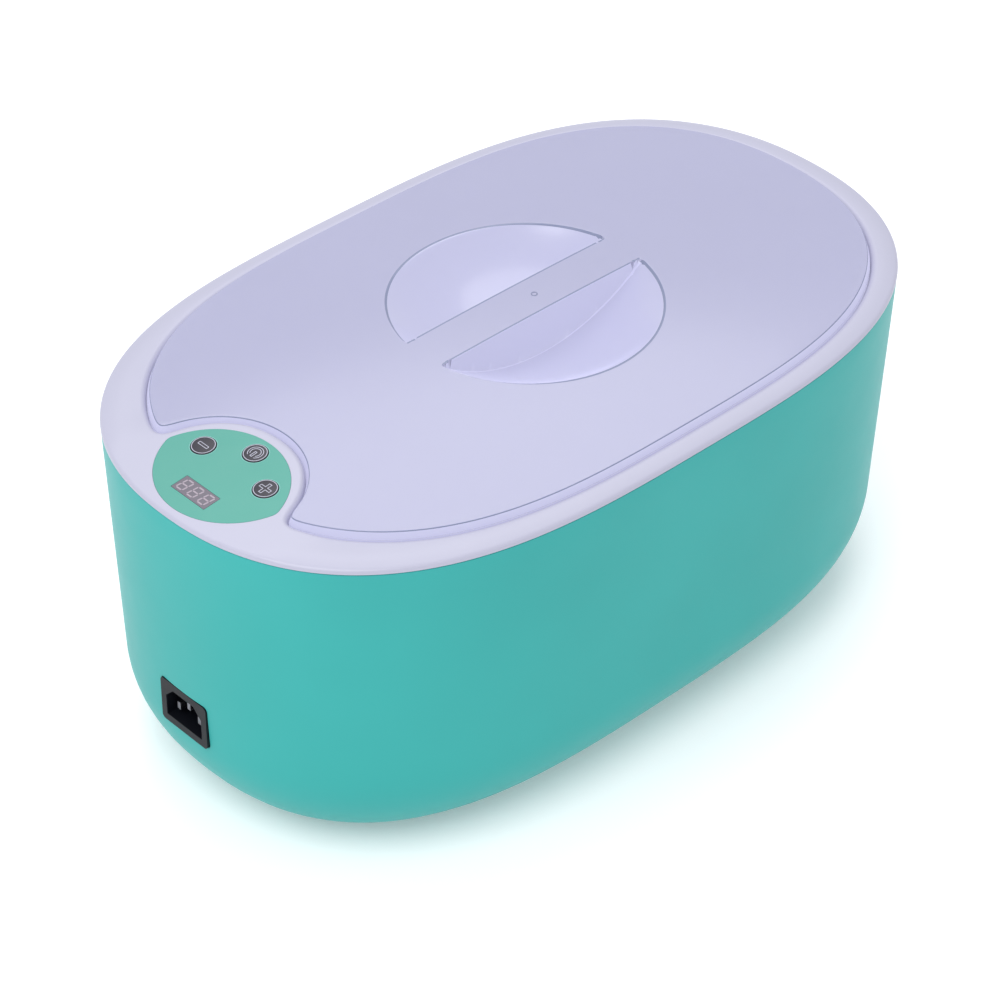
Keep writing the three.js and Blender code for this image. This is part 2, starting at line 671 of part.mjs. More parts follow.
for (const [hand, side] of [['left', -1], ['right', 1]]) {
  const seat = FRAME_POST_TOP_Z - 6 - GAP;
  add(`frame_screw_${hand}`, screw(side * FRAME_POST_X, FRAME_POST_Y, seat, 1.7, 16, 3.4, 2.4), 'steel');
}

add('bezel', bezel(), 'frame');
add('control_panel_overlay', overlay(), 'overlay', panelFrame);
add('display_module', displayBox(0, GAP - BOARD_DEPTH, 0.05), 'display', panelFrame);
add('control_board', controlBoard(), 'board', panelFrame);
for (const [label, [x, y]] of Object.entries(BUTTON_SPOTS)) {
  add(`button_${label}`, button(x, y), 'button', panelFrame);
  add(`tact_switch_${label}`, tactSwitch(x, y), 'black', panelFrame);
}
for (const [hand, side] of [['left', -1], ['right', 1]]) {
  const seat = -BOARD_DEPTH - 1.6 - GAP;
  add(`board_screw_${hand}`, screw(side * 22, -15, seat, 1.2, 7, 2.6, 1.6), 'steel', panelFrame);
}

add('lid', lid(), 'lid');
add('inner_pot', innerPot(), 'aluminium');
add('pot_gasket', potBand(POT_FLANGE - 0.8, 0.4, POT_FLANGE_Z + GAP, DECK_Z - FRAME_WALL - GAP), 'silicone');

clampSpots.forEach(({ x, y, side }) => {
  const place = `${y < 0 ? 'front' : 'back'}_${side < 0 ? 'left' : 'right'}`;
  const top = POT_FLANGE_Z - POT_WALL - GAP;
  const xs = side < 0 ? [x - 4, x + 9] : [x - 9, x + 4];
  const clamp = cut(box(xs, [y - 6, y + 6], [top - 1.5, top]), cylinder(2, 150, 180, x, y, 10));
  add(`pot_clamp_${place}`, clamp, 'steel');
  add(`pot_clamp_screw_${place}`, screw(x, y, top - 1.5 - GAP, 1.3, 6.6, 3, 1.8), 'steel');
});

add('insulation_blanket', potBand(6.5, 1, 66, 158, 7), 'felt');
add('heating_mat', heaterLayer(-24, POT_BOTTOM_Z - GAP - 1.5, POT_BOTTOM_Z - GAP), 'orange');
add('heater_clamp_plate', heaterLayer(-28, POT_BOTTOM_Z - 3.3, POT_BOTTOM_Z - 2.1), 'steel');
POT_STUD_YS.forEach((y, i) => {
  const top = POT_BOTTOM_Z - 3.3 - GAP;
  const nut = cut(cylinder(4, top - 3.2, top, 0, y, 6), cylinder(2.3, 0, 100, 0, y, 10));
  add(`heater_nut_${i + 1}`, nut, 'steel');
});
const underPlate = POT_BOTTOM_Z - 3.3 - GAP;
add('thermal_cutout', turned([
  [0, underPlate], [9, underPlate], [9, underPlate - 1], [7.6, underPlate - 1.4],
  [7.6, underPlate - 6], [6.8, underPlate - 6.8], [0, underPlate - 6.8],
], 20, 35, 30), 'black');
add('thermal_fuse', box([-44, -28], [28, 33], [underPlate - 4, underPlate]), 'silicone');
add('temperature_sensor', turned([
  [0, POT_BOTTOM_Z - GAP], [3.4, POT_BOTTOM_Z - GAP], [3.9, POT_BOTTOM_Z - 1],
  [3.9, POT_BOTTOM_Z - 9], [2.4, POT_BOTTOM_Z - 11], [0, POT_BOTTOM_Z - 11],
], 16, 30, -30), 'aluminium');
add('pot_grille', grille(), 'grille');

add('inlet_housing', inletHousing(), 'black');
for (const [label, [x, z]] of Object.entries(INLET_PINS)) {
  add(`inlet_pin_${label}`, inletPin(x, z), 'steel');
}

const boardTop = POWER_BOARD_Z + 1.6;
const onBoard = boardTop + GAP;
const boardYs = [POWER_BOARD_Y - 24, POWER_BOARD_Y + 24];
add('power_board', box([-34, 34], boardYs, [POWER_BOARD_Z, boardTop]), 'board');
add('relay', box([-30, -11], [-134, -119], [onBoard, onBoard + 15]), 'blue');
add('transformer', box([-2, 28], [-138, -114], [onBoard, onBoard + 15]), 'orange');
add('filter_capacitor', turned([
  [0, onBoard], [4.6, onBoard], [5, onBoard + 1],
  [5, onBoard + 15.4], [4.4, onBoard + 16], [0, onBoard + 16],
], 16, -24, -144), 'grey');
add('terminal_block', box([-10, 20], [-157, -147], [onBoard, onBoard + 10]), 'green');

const wire = roundShape(1.1, 6);
const blockTop = onBoard + 11.2;
const wireRoutes = {
  wire_live: [[-7, -167, INLET_Z - 2], [-7, -159, INLET_Z - 5], [-5, -153, 49], [-4, -152, blockTop]],
  wire_neutral: [[7, -167, INLET_Z - 2], [8, -159, INLET_Z - 5], [10, -153, 49], [10, -152, blockTop]],
  wire_earth: [
    [0, -167, INLET_Z + 2], [1, -152, 62], [2, -130, 56], [2, -108, 43], [3, -84, 38], [6, -56, 41],
  ],
  heater_lead: [
    [15, -152, blockTop], [18, -146, 52], [22, -126, 52], [24, -108, 43], [20, -90, 40], [16, -72, 43],
  ],
  sensor_lead: [
    [18, -152, blockTop], [27, -146, 50], [34, -124, 47], [34, -90, 38], [32, -50, 34], [30, -32, 35.6],
  ],
};
for (const [name, route] of Object.entries(wireRoutes)) {
  const look = { wire_live: 'brown', wire_neutral: 'blue', wire_earth: 'green' }[name] ?? 'silicone';
  add(name, swept(wire, route, 10), look);
}
const ribbon = polygonShape([[-0.6, -6], [0.6, -6], [0.6, 6], [-0.6, 6]]);
const ribbonRoute = [
  [-26, -172, 161.5], [-27, -176, 130], [-29, -175, 80], [-28, -162, 48], [-27, -155.5, onBoard + 2],
];
add('ribbon_cable', swept(ribbon, ribbonRoute, 12), 'grey');

export default model;
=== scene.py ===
# Paraffin wax bath: teal tub, white top frame, milky lift-off lid, sloping control panel, mains inlet.
import json
import math

import bmesh
import bpy
import numpy as np
from mathutils import Matrix, Vector
from mathutils.geometry import delaunay_2d_cdt


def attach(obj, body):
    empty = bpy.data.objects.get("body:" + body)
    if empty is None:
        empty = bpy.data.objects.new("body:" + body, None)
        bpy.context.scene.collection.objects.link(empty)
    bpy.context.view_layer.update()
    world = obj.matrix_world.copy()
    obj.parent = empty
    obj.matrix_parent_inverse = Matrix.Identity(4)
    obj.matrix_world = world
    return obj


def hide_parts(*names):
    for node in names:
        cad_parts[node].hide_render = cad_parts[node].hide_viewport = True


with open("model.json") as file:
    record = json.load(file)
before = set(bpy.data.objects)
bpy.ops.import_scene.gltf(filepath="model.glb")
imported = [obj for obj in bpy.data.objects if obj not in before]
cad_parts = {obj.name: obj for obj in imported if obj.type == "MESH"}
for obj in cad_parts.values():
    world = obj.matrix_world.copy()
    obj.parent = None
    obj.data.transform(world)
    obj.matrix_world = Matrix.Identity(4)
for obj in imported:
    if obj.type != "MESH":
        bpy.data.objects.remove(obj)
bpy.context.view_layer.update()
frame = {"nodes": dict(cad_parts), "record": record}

# ---- Driving dimensions, in millimetres, in the frame's own axes ----

MM = 0.001
HALF_WIDTH, HALF_LENGTH = 121.1, 200.0
SIDE_POWER, END_POWER = 2.22, 3.21
TUB_BOTTOM_Z, TUB_TOP_Z, TUB_WALL, SEAM_Z = 2.5, 173.1, 3.0, 173.4
RIM_Z, CROWN_Z, DECK_Z = 175.15, 177.15, 173.0
SIDE_TAPER, ROUND_HEIGHT, ROUND_WIDTH = 4.2, 50.4, 46.1
LID_CENTRE_Y, RECESS_HALF_WIDTH, RECESS_HALF_LENGTH = 4.5, 110.5, 181.5
LID_SIDE_GAP, LID_EDGE_Z, LID_CENTRE_Z, LID_WALL = 1.7, 180.0, 185.6, 2.0
POD_RADIUS, POD_CENTRE_Y = 40.5, -175.5
WELL_Y, WELL_RADIUS, WELL_Z, WELL_RIM, BAR_HALF_WIDTH = 8.5, 100.0, 262.35, 63.1, 11.45
PANEL_Y, PANEL_Z, PANEL_TILT = -165.0, 178.7, math.radians(6)
PANEL_ARC, PANEL_OFFSET, PANEL_MIDDLE, PANEL_CORNER = 37.0, 9.9, -3.7, 6.0
OVERLAY_TOP = 0.1
BUTTON_RADIUS = 5.7
BUTTONS = {"minus": (-20.4, 3.3), "power": (0.0, 15.1), "plus": (20.4, 3.3)}
DISPLAY = (21.6, 9.0, -18.1)
POT_Y, POT_HALF_WIDTH, POT_HALF_LENGTH, POT_WALL = 22.0, 97.0, 146.0, 1.5
POT_TAPER, POT_ROUND, POT_BOTTOM_Z, POT_FLANGE_Z, POT_FLANGE = 4.0, 14.0, 48.5, 168.4, 7.0
INLET_Z, INLET_FACE_Y, INLET_SEAT_DEPTH = 60.9, -196.4, 2.3
INLET_OPENING, INLET_SEAT = (27.8, 20.4, 1.0), (31.6, 24.6, 2.5)
POST_X, POST_Y, POST_RADIUS, POST_TOP_Z = 42.0, -140.0, 5.5, 146.0
POST_HOLE_RADIUS, SCREW_RADIUS = 3.9, 2.1
STANDOFF_X, STANDOFF_YS, STANDOFF_RADIUS, STANDOFF_TOP_Z = 29.0, (-154.0, -116.0), 3.0, 25.7
FOOT_X, FOOT_Y, FOOT_SEAT_RADIUS, FOOT_SEAT_DEPTH = 50.0, 105.0, 8.0, 1.5
VENT_WIDTH, VENT_LENGTH, VENT_PITCH, VENT_Y, VENTS_EACH_SIDE = 2.5, 26.0, 7.0, -105.0, 3

panel_matrix = Matrix.Translation((0, PANEL_Y * MM, PANEL_Z * MM)) @ Matrix.Rotation(PANEL_TILT, 4, "X")


# ---- Meshes ----

def new_object(name, verts, faces, matrix=None):
    """A mesh object from points in millimetres."""
    mesh = bpy.data.meshes.new(name)
    mesh.from_pydata([tuple(v) for v in np.asarray(verts, float) * MM], [], [tuple(f) for f in faces])
    if matrix is not None:
        mesh.transform(matrix)
    mesh.update()
    piece = bpy.data.objects.new(name, mesh)
    bpy.context.scene.collection.objects.link(piece)
    bm = bmesh.new()
    bm.from_mesh(mesh)
    bmesh.ops.recalc_face_normals(bm, faces=bm.faces)
    bm.to_mesh(mesh)
    bm.free()
    return piece


def bake(piece):
    """Applies a piece's modifiers."""
    depsgraph = bpy.context.evaluated_depsgraph_get()
    depsgraph.update()
    mesh = bpy.data.meshes.new_from_object(piece.evaluated_get(depsgraph))
    piece.modifiers.clear()
    piece.data = mesh
    return piece


def smooth(piece, angle=35):
    piece.data.shade_smooth()
    piece.data.set_sharp_from_angle(angle=math.radians(angle))
    return piece


def bevel(piece, width, segments=2):
    modifier = piece.modifiers.new("edge", "BEVEL")
    modifier.width = width * MM
    modifier.segments = segments
    modifier.limit_method = "ANGLE"
    modifier.angle_limit = math.radians(40)
    modifier.use_clamp_overlap = True
    weighted = piece.modifiers.new("flats", "WEIGHTED_NORMAL")
    weighted.keep_sharp = True
    piece.data.shade_smooth()
    return piece


def carve(piece, cutters, operation="DIFFERENCE"):
    """Cuts solids out of a piece, or joins them to it, and removes them."""
    for cutter in cutters:
        modifier = piece.modifiers.new("cut", "BOOLEAN")
        modifier.operation = operation
        modifier.solver = "EXACT"
        modifier.object = cutter
    bake(piece)
    for cutter in cutters:
        bpy.data.objects.remove(cutter)
    return piece


def join(name, parts):
    """One object from several, which are removed."""
    bm = bmesh.new()
    for part in parts:
        bm.from_mesh(part.data)
    mesh = bpy.data.meshes.new(name)
    bm.to_mesh(mesh)
    bm.free()
    for part in parts:
        bpy.data.objects.remove(part)
    piece = bpy.data.objects.new(name, mesh)
    bpy.context.scene.collection.objects.link(piece)
    return piece


def loft(name, rings, closed=False, caps=True):
    """A skin through rings of equal length; closed joins the last ring to the first."""
    count = len(rings[0])
    verts = np.concatenate(rings)
    faces = []
    pairs = len(rings) if closed else len(rings) - 1
    for j in range(pairs):
        a, b = j * count, ((j + 1) % len(rings)) * count
        for i in range(count):
            k = (i + 1) % count
            faces.append((a + i, a + k, b + k, b + i))
    if caps and not closed:
        faces.append(tuple(range(count)))
        faces.append(tuple(range((len(rings) - 1) * count, len(rings) * count)))
    return new_object(name, verts, faces)


def turned(name, profile, sides=48, x=0.0, y=0.0, matrix=None):
    """A turned piece from (radius, z) points that start and end on the axis."""
    angles = np.linspace(0, 2 * np.pi, sides, endpoint=False)
    verts, rows = [], []
    for radius, z in profile:
        if radius <= 0:
            rows.append([len(verts)])
            verts.append((x, y, z))
        else:
            rows.append(list(range(len(verts), len(verts) + sides)))
            verts += [(x + radius * math.cos(a), y + radius * math.sin(a), z) for a in angles]
    faces = []
    for low, high in zip(rows, rows[1:]):
        for i in range(sides):
            k = (i + 1) % sides
            if len(low) == 1 and len(high) > 1:
                faces.append((low[0], high[k], high[i]))
            elif len(high) == 1 and len(low) > 1:
                faces.append((low[i], low[k], high[0]))
            elif len(low) > 1:
                faces.append((low[i], low[k], high[k], high[i]))
    return new_object(name, verts, faces, matrix)


def inside(points, loop):
    """Which points lie inside a closed loop."""
    x, y = points[:, 0:1], points[:, 1:2]
    ax, ay = loop[:, 0], loop[:, 1]
    bx, by = np.roll(ax, -1), np.roll(ay, -1)
    crosses = (ay > y) != (by > y)
    with np.errstate(divide="ignore", invalid="ignore"):
        at = ax + (y - ay) * (bx - ax) / (by - ay)
    return (np.where(crosses, x < at, False).sum(1) % 2) == 1


def distance(points, loop, closed=True):
    """Distance of each point to a loop or line of points."""
    a = loop
    b = np.roll(loop, -1, axis=0)
    if not closed:
        a, b = a[:-1], b[:-1]
    best = np.full(len(points), np.inf)
    step = b - a
    length = np.maximum((step ** 2).sum(1), 1e-12)
    for start in range(0, len(points), 4000):
        p = points[start:start + 4000]
        rel = p[:, None, :] - a[None]
        t = np.clip((rel * step[None]).sum(2) / length, 0, 1)
        gap = rel - t[..., None] * step[None]
        best[start:start + 4000] = np.sqrt((gap ** 2).sum(2)).min(1)
    return best


def signed(points, loop):
    """Distance to a loop, positive inside it."""
    return np.where(inside(points, loop), 1, -1) * distance(points, loop)


def triangulate(loops, extra=()):
    """Triangles between the first loop and the holes that follow it, using extra points and lines too."""
    verts, edges = [], []
    for loop in loops:
        start = len(verts)
        verts += [tuple(p) for p in loop]
        edges += [(start + i, start + (i + 1) % len(loop)) for i in range(len(loop))]
    verts += [tuple(p) for p in extra]
    out = delaunay_2d_cdt([Vector(v) for v in verts], edges, [], 0, 1e-4, True)
    points = np.array([(v.x, v.y) for v in out[0]])
    tris = np.array([f for f in out[2] if len(f) == 3])
    middle = points[tris].mean(1)
    keep = inside(middle, loops[0])
    for hole in loops[1:]:
        keep &= ~inside(middle, hole)
    return points, tris[keep]


def boundary(tris):
    """Directed edges that only one triangle uses."""
    seen = {}
    for a, b, c in tris:
        for edge in ((a, b), (b, c), (c, a)):
            seen[edge] = True
    return [edge for edge in seen if (edge[1], edge[0]) not in seen]


def slab(name, points, tris, top, bottom, matrix=None):
    """A closed solid between two height fields over the same triangles."""
    count = len(points)
    verts = np.concatenate([np.c_[points, top], np.c_[points, bottom]])
    faces = [tuple(t) for t in tris]
    faces += [(c + count, b + count, a + count) for a, b, c in tris]
    faces += [(b, a, a + count, b + count) for a, b in boundary(tris)]
    return new_object(name, verts, faces, matrix)


def plate(name, loops, bottom, top, matrix=None):
    points, tris = triangulate(loops)
    return slab(name, points, tris, np.full(len(points), top), np.full(len(points), bottom), matrix)


# ---- Outlines ----

def even(points, count):
    """The same closed loop with count points at equal spacing."""
    ring = np.vstack([points, points[:1]])
    length = np.r_[0, np.cumsum(np.hypot(*np.diff(ring, axis=0).T))]
    at = np.linspace(0, length[-1], count, endpoint=False)
    return np.c_[np.interp(at, length, ring[:, 0]), np.interp(at, length, ring[:, 1])]


def oval(half_width, half_length, centre_y=0.0, count=288):
    angle = np.linspace(0, 2 * np.pi, 4096, endpoint=False)
    c, s = np.cos(angle), np.sin(angle)
    x = half_width * np.sign(c) * np.abs(c) ** (2 / SIDE_POWER)
    y = centre_y + half_length * np.sign(s) * np.abs(s) ** (2 / END_POWER)
    return even(np.c_[x, y], count)


def inwards(loop):
    """Unit normals pointing into a counter-clockwise loop."""
    along = np.roll(loop, -1, axis=0) - np.roll(loop, 1, axis=0)
    along /= np.hypot(*along.T)[:, None]
    return np.c_[-along[:, 1], along[:, 0]]


def circle(x, y, radius, count=48):
    angle = np.linspace(0, 2 * np.pi, count, endpoint=False)
    return np.c_[x + radius * np.cos(angle), y + radius * np.sin(angle)]


def arc(x, y, radius, start, end, count):
    angle = np.radians(np.linspace(start, end, count))
    return np.c_[x + radius * np.cos(angle), y + radius * np.sin(angle)]


def rounded_rectangle(width, height, radius, x=0.0, y=0.0, count=8):
    w, h = width / 2 - radius, height / 2 - radius
    corners = [(w, h, 0), (-w, h, 90), (-w, -h, 180), (w, -h, 270)]
    return np.concatenate([arc(x + cx, y + cy, radius, a, a + 90, count) for cx, cy, a in corners])


def panel_outline(grow=0.0, count=40):
    """Two arcs meeting in rounded corners at the sides."""
    radius, corner = PANEL_ARC + grow, PANEL_CORNER + grow
    reach = radius - corner
    corner_x = math.sqrt(reach ** 2 - PANEL_OFFSET ** 2)
    t = math.degrees(math.atan2(PANEL_OFFSET, corner_x))
    upper, lower = PANEL_MIDDLE - PANEL_OFFSET, PANEL_MIDDLE + PANEL_OFFSET
    loop = [
        arc(0, upper, radius, t, 180 - t, count),
        arc(-corner_x, PANEL_MIDDLE, corner, 180 - t, 180 + t, 10)[1:],
        arc(0, lower, radius, 180 + t, 360 - t, count)[1:],
        arc(corner_x, PANEL_MIDDLE, corner, -t, t, 10)[1:-1],
    ]
    return np.concatenate(loop)


def round_corners(loop, radius, passes=1):
    """Softens a loop's tight corners: each point moves to the average over a stretch of the loop."""
    count = len(loop)
    spacing = np.hypot(*(loop[1] - loop[0]))
    reach = max(1, int(radius / spacing))
    result = loop
    for _ in range(passes):
        total = np.zeros_like(loop)
        for shift in range(-reach, reach + 1):
            total += np.roll(result, shift, axis=0)
        result = total / (2 * reach + 1)
    return result


def notched_oval(grow, notch_radius, corner, count=900):
    """The lid's oval less the round notch at the panel, with rounded horns."""
    loop = oval(RECESS_HALF_WIDTH + grow, RECESS_HALF_LENGTH + grow, LID_CENTRE_Y, 4000)
    away = np.hypot(loop[:, 0], loop[:, 1] - POD_CENTRE_Y)
    kept = loop[(away > notch_radius) & ~((np.abs(loop[:, 0]) < notch_radius) & (loop[:, 1] < POD_CENTRE_Y))]
    right = kept[(kept[:, 0] > 0)]
    right = right[np.argmin(right[:, 1])]
    order = np.argsort((np.degrees(np.arctan2(kept[:, 1] - LID_CENTRE_Y, kept[:, 0])) + 90) % 360)
    kept = kept[order]
    angle = math.degrees(math.atan2(right[1] - POD_CENTRE_Y, right[0]))
    notch = arc(0, POD_CENTRE_Y, notch_radius, 180 - angle, angle, 240)[1:-1]
    loop = even(np.concatenate([kept, notch]), count)
    return round_corners(loop, corner, 2)


tub_loop = oval(HALF_WIDTH, HALF_LENGTH)
tub_normals = inwards(tub_loop)


def tub_ring(inset, z):
    return np.c_[tub_loop + tub_normals * inset, np.full(len(tub_loop), z)]


def pot_ring(grow, z, count=240):
    loop = oval(POT_HALF_WIDTH + grow, POT_HALF_LENGTH + grow, POT_Y, count)
    return np.c_[loop, np.full(len(loop), z)]


# ---- Materials ----

class Nodes:
    """A material's node tree and the few ways in which it is built here."""

    def __init__(self, name):
        self.material = bpy.data.materials.new(name)
        self.material.use_nodes = True
        self.tree = self.material.node_tree
        self.shader = self.tree.nodes["Principled BSDF"]
        self.place = self.add("ShaderNodeTexCoord").outputs["Object"]

    def add(self, kind, **inputs):
        node = self.tree.nodes.new(kind)
        for key, value in inputs.items():
            self.set(node.inputs[key.replace("_", " ")], value)
        return node

    def set(self, socket, value):
        if isinstance(value, bpy.types.NodeSocket):
            self.tree.links.new(value, socket)
        else:
            socket.default_value = value

    def noise(self, scale, detail=3.0, roughness=0.55, stretch=None):
        node = self.add("ShaderNodeTexNoise", Scale=scale, Detail=detail, Roughness=roughness)
        vector = self.place
        if stretch:
            mapping = self.add("ShaderNodeMapping", Vector=self.place)
            mapping.inputs["Scale"].default_value = stretch
            vector = mapping.outputs["Vector"]
        self.set(node.inputs["Vector"], vector)
        return node.outputs["Fac"]

    def map(self, value, low, high, from_low=0.3, from_high=0.7):
        node = self.add("ShaderNodeMapRange", Value=value)
        node.inputs["From Min"].default_value = from_low
        node.inputs["From Max"].default_value = from_high
        node.inputs["To Min"].default_value = low
        node.inputs["To Max"].default_value = high
        return node.outputs["Result"]

    def mix(self, factor, a, b):
        node = self.add("ShaderNodeMix")
        node.data_type = "RGBA"
        self.set(node.inputs["Factor"], factor)
        self.set(node.inputs["A"], a)
        self.set(node.inputs["B"], b)
        return node.outputs["Result"]

    def bump(self, height, strength, distance, normal=None):
        node = self.add("ShaderNodeBump", Height=height, Strength=strength, Distance=distance)
        if normal is not None:
            self.set(node.inputs["Normal"], normal)
        return node.outputs["Normal"]


def rgb(red, green, blue):
    """Linear colour from 0-255 display values."""
    values = [c / 255 for c in (red, green, blue)]
    linear = [c / 12.92 if c <= 0.04045 else ((c + 0.055) / 1.055) ** 2.4 for c in values]
    return (*linear, 1.0)


def shade(colour, factor):
    return (*[min(1, c * factor) for c in colour[:3]], 1.0)


def plastic(name, colour, roughness, grain=0.06, grain_scale=900, coat=0.0, variation=0.04, wear=0.05,
            shine=0.5):
    """A moulded plastic: faint broad colour drift, fine grain, and gloss rubbed unevenly by use."""
    n = Nodes(name)
    broad = n.noise(9, 2)
    fine = n.noise(grain_scale, 2)
    rubbed = n.noise(70, 3)
    mixed = n.mix(n.map(broad, 0, 1), shade(colour, 1 - variation), shade(colour, 1 + variation))
    n.set(n.shader.inputs["Base Color"], mixed)
    n.set(n.shader.inputs["Roughness"], n.map(rubbed, roughness - wear, roughness + wear, 0.2, 0.8))
    n.set(n.shader.inputs["Normal"], n.bump(fine, grain, 0.0002))
    n.shader.inputs["Specular IOR Level"].default_value = shine
    n.shader.inputs["Coat Weight"].default_value = coat
    n.shader.inputs["Coat Roughness"].default_value = 0.12
    return n


def metal(name, colour, roughness, stretch=(1, 1, 1), grain=0.15):
    n = Nodes(name)
    brushed = n.noise(420, 3, 0.6, stretch)
    broad = n.noise(30, 3)
    n.set(n.shader.inputs["Base Color"], n.mix(n.map(broad, 0, 1), shade(colour, 0.9), shade(colour, 1.06)))
    n.set(n.shader.inputs["Roughness"], n.map(brushed, roughness - 0.08, roughness + 0.1))
    n.set(n.shader.inputs["Normal"], n.bump(brushed, grain, 0.0001))
    n.shader.inputs["Metallic"].default_value = 1.0
    return n


materials = {}


def build_materials():
    m = materials
    m["tub"] = plastic("teal_abs", rgb(58, 163, 158), 0.4, 0.012, 1100, wear=0.025, shine=0.13).material
    white = rgb(175, 174, 191)
    m["frame"] = plastic("white_abs", white, 0.36, 0.03, 1100, variation=0.02, wear=0.03).material
    m["overlay"] = plastic("overlay_sheet", rgb(75, 151, 137), 0.42, 0.05, 1500).material
    # Painted highlight: a pale colour for the rings that stand in for the lit edges of the key openings.
    m["overlay_painted_highlight"] = plastic("painted_highlight_rings", rgb(122, 180, 172), 0.45, 0.02, 1500).material
    m["button"] = plastic("key_print", rgb(40, 37, 47), 0.42, 0.05, 1500).material
    m["ink"] = plastic("pale_ink", rgb(176, 176, 190), 0.5, 0.02, 1500).material
    m["display"] = plastic("display_face", rgb(96, 90, 101), 0.3, 0.03, 1500).material
    m["segments"] = plastic("segment_diffuser", rgb(158, 146, 156), 0.45, 0.03, 1500).material
    m["black"] = plastic("black_plastic", rgb(13, 15, 22), 0.45, 0.1, 700, shine=0.2).material
    m["rubber"] = plastic("foot_rubber", rgb(42, 42, 44), 0.75, 0.3, 500).material
    m["silicone"] = plastic("silicone", rgb(226, 222, 214), 0.6, 0.1, 500).material
    m["board"] = plastic("solder_mask", rgb(38, 104, 58), 0.35, 0.2, 260).material
    m["orange"] = plastic("heater_rubber", rgb(190, 84, 44), 0.6, 0.3, 380).material
    m["grille"] = plastic("grille_plastic", rgb(238, 238, 242), 0.4, 0.06, 900).material
    m["blue"] = plastic("blue_plastic", rgb(48, 110, 180), 0.42).material
    m["brown"] = plastic("brown_sleeve", rgb(104, 66, 40), 0.45).material
    m["green"] = plastic("green_plastic", rgb(78, 150, 62), 0.45).material
    m["grey"] = plastic("grey_plastic", rgb(138, 141, 146), 0.45).material
    m["aluminium"] = metal("drawn_aluminium", rgb(206, 208, 212), 0.34, (1, 0.12, 1)).material
    m["steel"] = metal("plated_steel", rgb(188, 190, 196), 0.28).material
    m["felt"] = felt().material
    milky = rgb(138, 138, 163)
    # The lid's plastic with a painted glow, and lit copies of it: a stronger painted glow for the bowls and
    # the steep walls, and a darker bluish colour with a weak glow as painted shade lines on the crisp edges.
    m["lid"] = painted_glow_lid_material("milky_polycarbonate_painted_glow", milky, 1.0).material
    m["lid_bowl"] = painted_glow_lid_material("milky_polycarbonate_bowl", milky, 1.85).material
    m["lid_wall"] = painted_glow_lid_material("milky_polycarbonate_wall", milky, 2.6).material
    m["lid_edge"] = painted_glow_lid_material("polycarbonate_painted_edge_shade", rgb(110, 117, 143), 0.45, coat=0.0).material
    # The pins' nickel is darkened beyond its own tone: painted shade for the deep socket they sit in.
    m["pin"] = metal("nickel_pin_with_painted_shade", rgb(120, 120, 126), 0.34).material


def felt():
    n = Nodes("needled_felt")
    fibre = n.noise(320, 6, 0.75, (1, 1, 0.3))
    tuft = n.noise(60, 4)
    n.set(n.shader.inputs["Base Color"], n.mix(n.map(fibre, 0, 1), rgb(206, 200, 190), rgb(240, 236, 228)))
    n.shader.inputs["Roughness"].default_value = 0.95
    n.shader.inputs["Sheen Weight"].default_value = 0.3
    n.set(n.shader.inputs["Normal"], n.bump(tuft, 0.6, 0.002, n.bump(fibre, 0.8, 0.0006)))
    return n


def painted_glow_lid_material(name, colour, painted_glow, coat=0.25):
    """Glossy clear plastic with a milky body and a painted glow: an even emission brightens it and flattens
    its shading, standing in for light that comes through from its other faces.
    """
    n = plastic(name, colour, 0.22, 0.01, 700, coat, variation=0.015, wear=0.012)
    # Painted glow: this emission lights the lid evenly by itself, whatever the lamps do.
    n.shader.inputs["Emission Color"].default_value = (0.13, 0.13, 0.17, 1)
    n.shader.inputs["Emission Strength"].default_value = painted_glow
    n.shader.inputs["Subsurface Weight"].default_value = 0.3
    n.shader.inputs["Subsurface Radius"].default_value = (0.003, 0.003, 0.004)
    n.shader.inputs["Subsurface Scale"].default_value = 1.0
    return n


def dress(piece, look):
    piece.data.materials.clear()
    piece.data.materials.append(materials[look])
    return piece


build_materials()


# ---- Tub ----

def tub_profile(wall):
    """(inset, z) from the rim down to the flat bottom."""
    taper_z = TUB_BOTTOM_Z + ROUND_HEIGHT
    points = []
    if wall == 0:
        points += [(1.2, TUB_TOP_Z), (0.55, TUB_TOP_Z - 0.08), (0.2, TUB_TOP_Z - 0.35)]
    else:
        points += [(wall, TUB_TOP_Z)]
    for share in np.linspace(0.01, 1, 12):
        z = TUB_TOP_Z + (taper_z - TUB_TOP_Z) * share
        points.append((0.1 + wall + SIDE_TAPER * share, z))
    for angle in np.radians(np.linspace(0, 90, 19)[1:]):
        inset = 0.1 + SIDE_TAPER + wall + (ROUND_WIDTH - wall) * (1 - math.cos(angle))
        points.append((inset, TUB_BOTTOM_Z + wall + (ROUND_HEIGHT - wall) * (1 - math.sin(angle))))
    return points


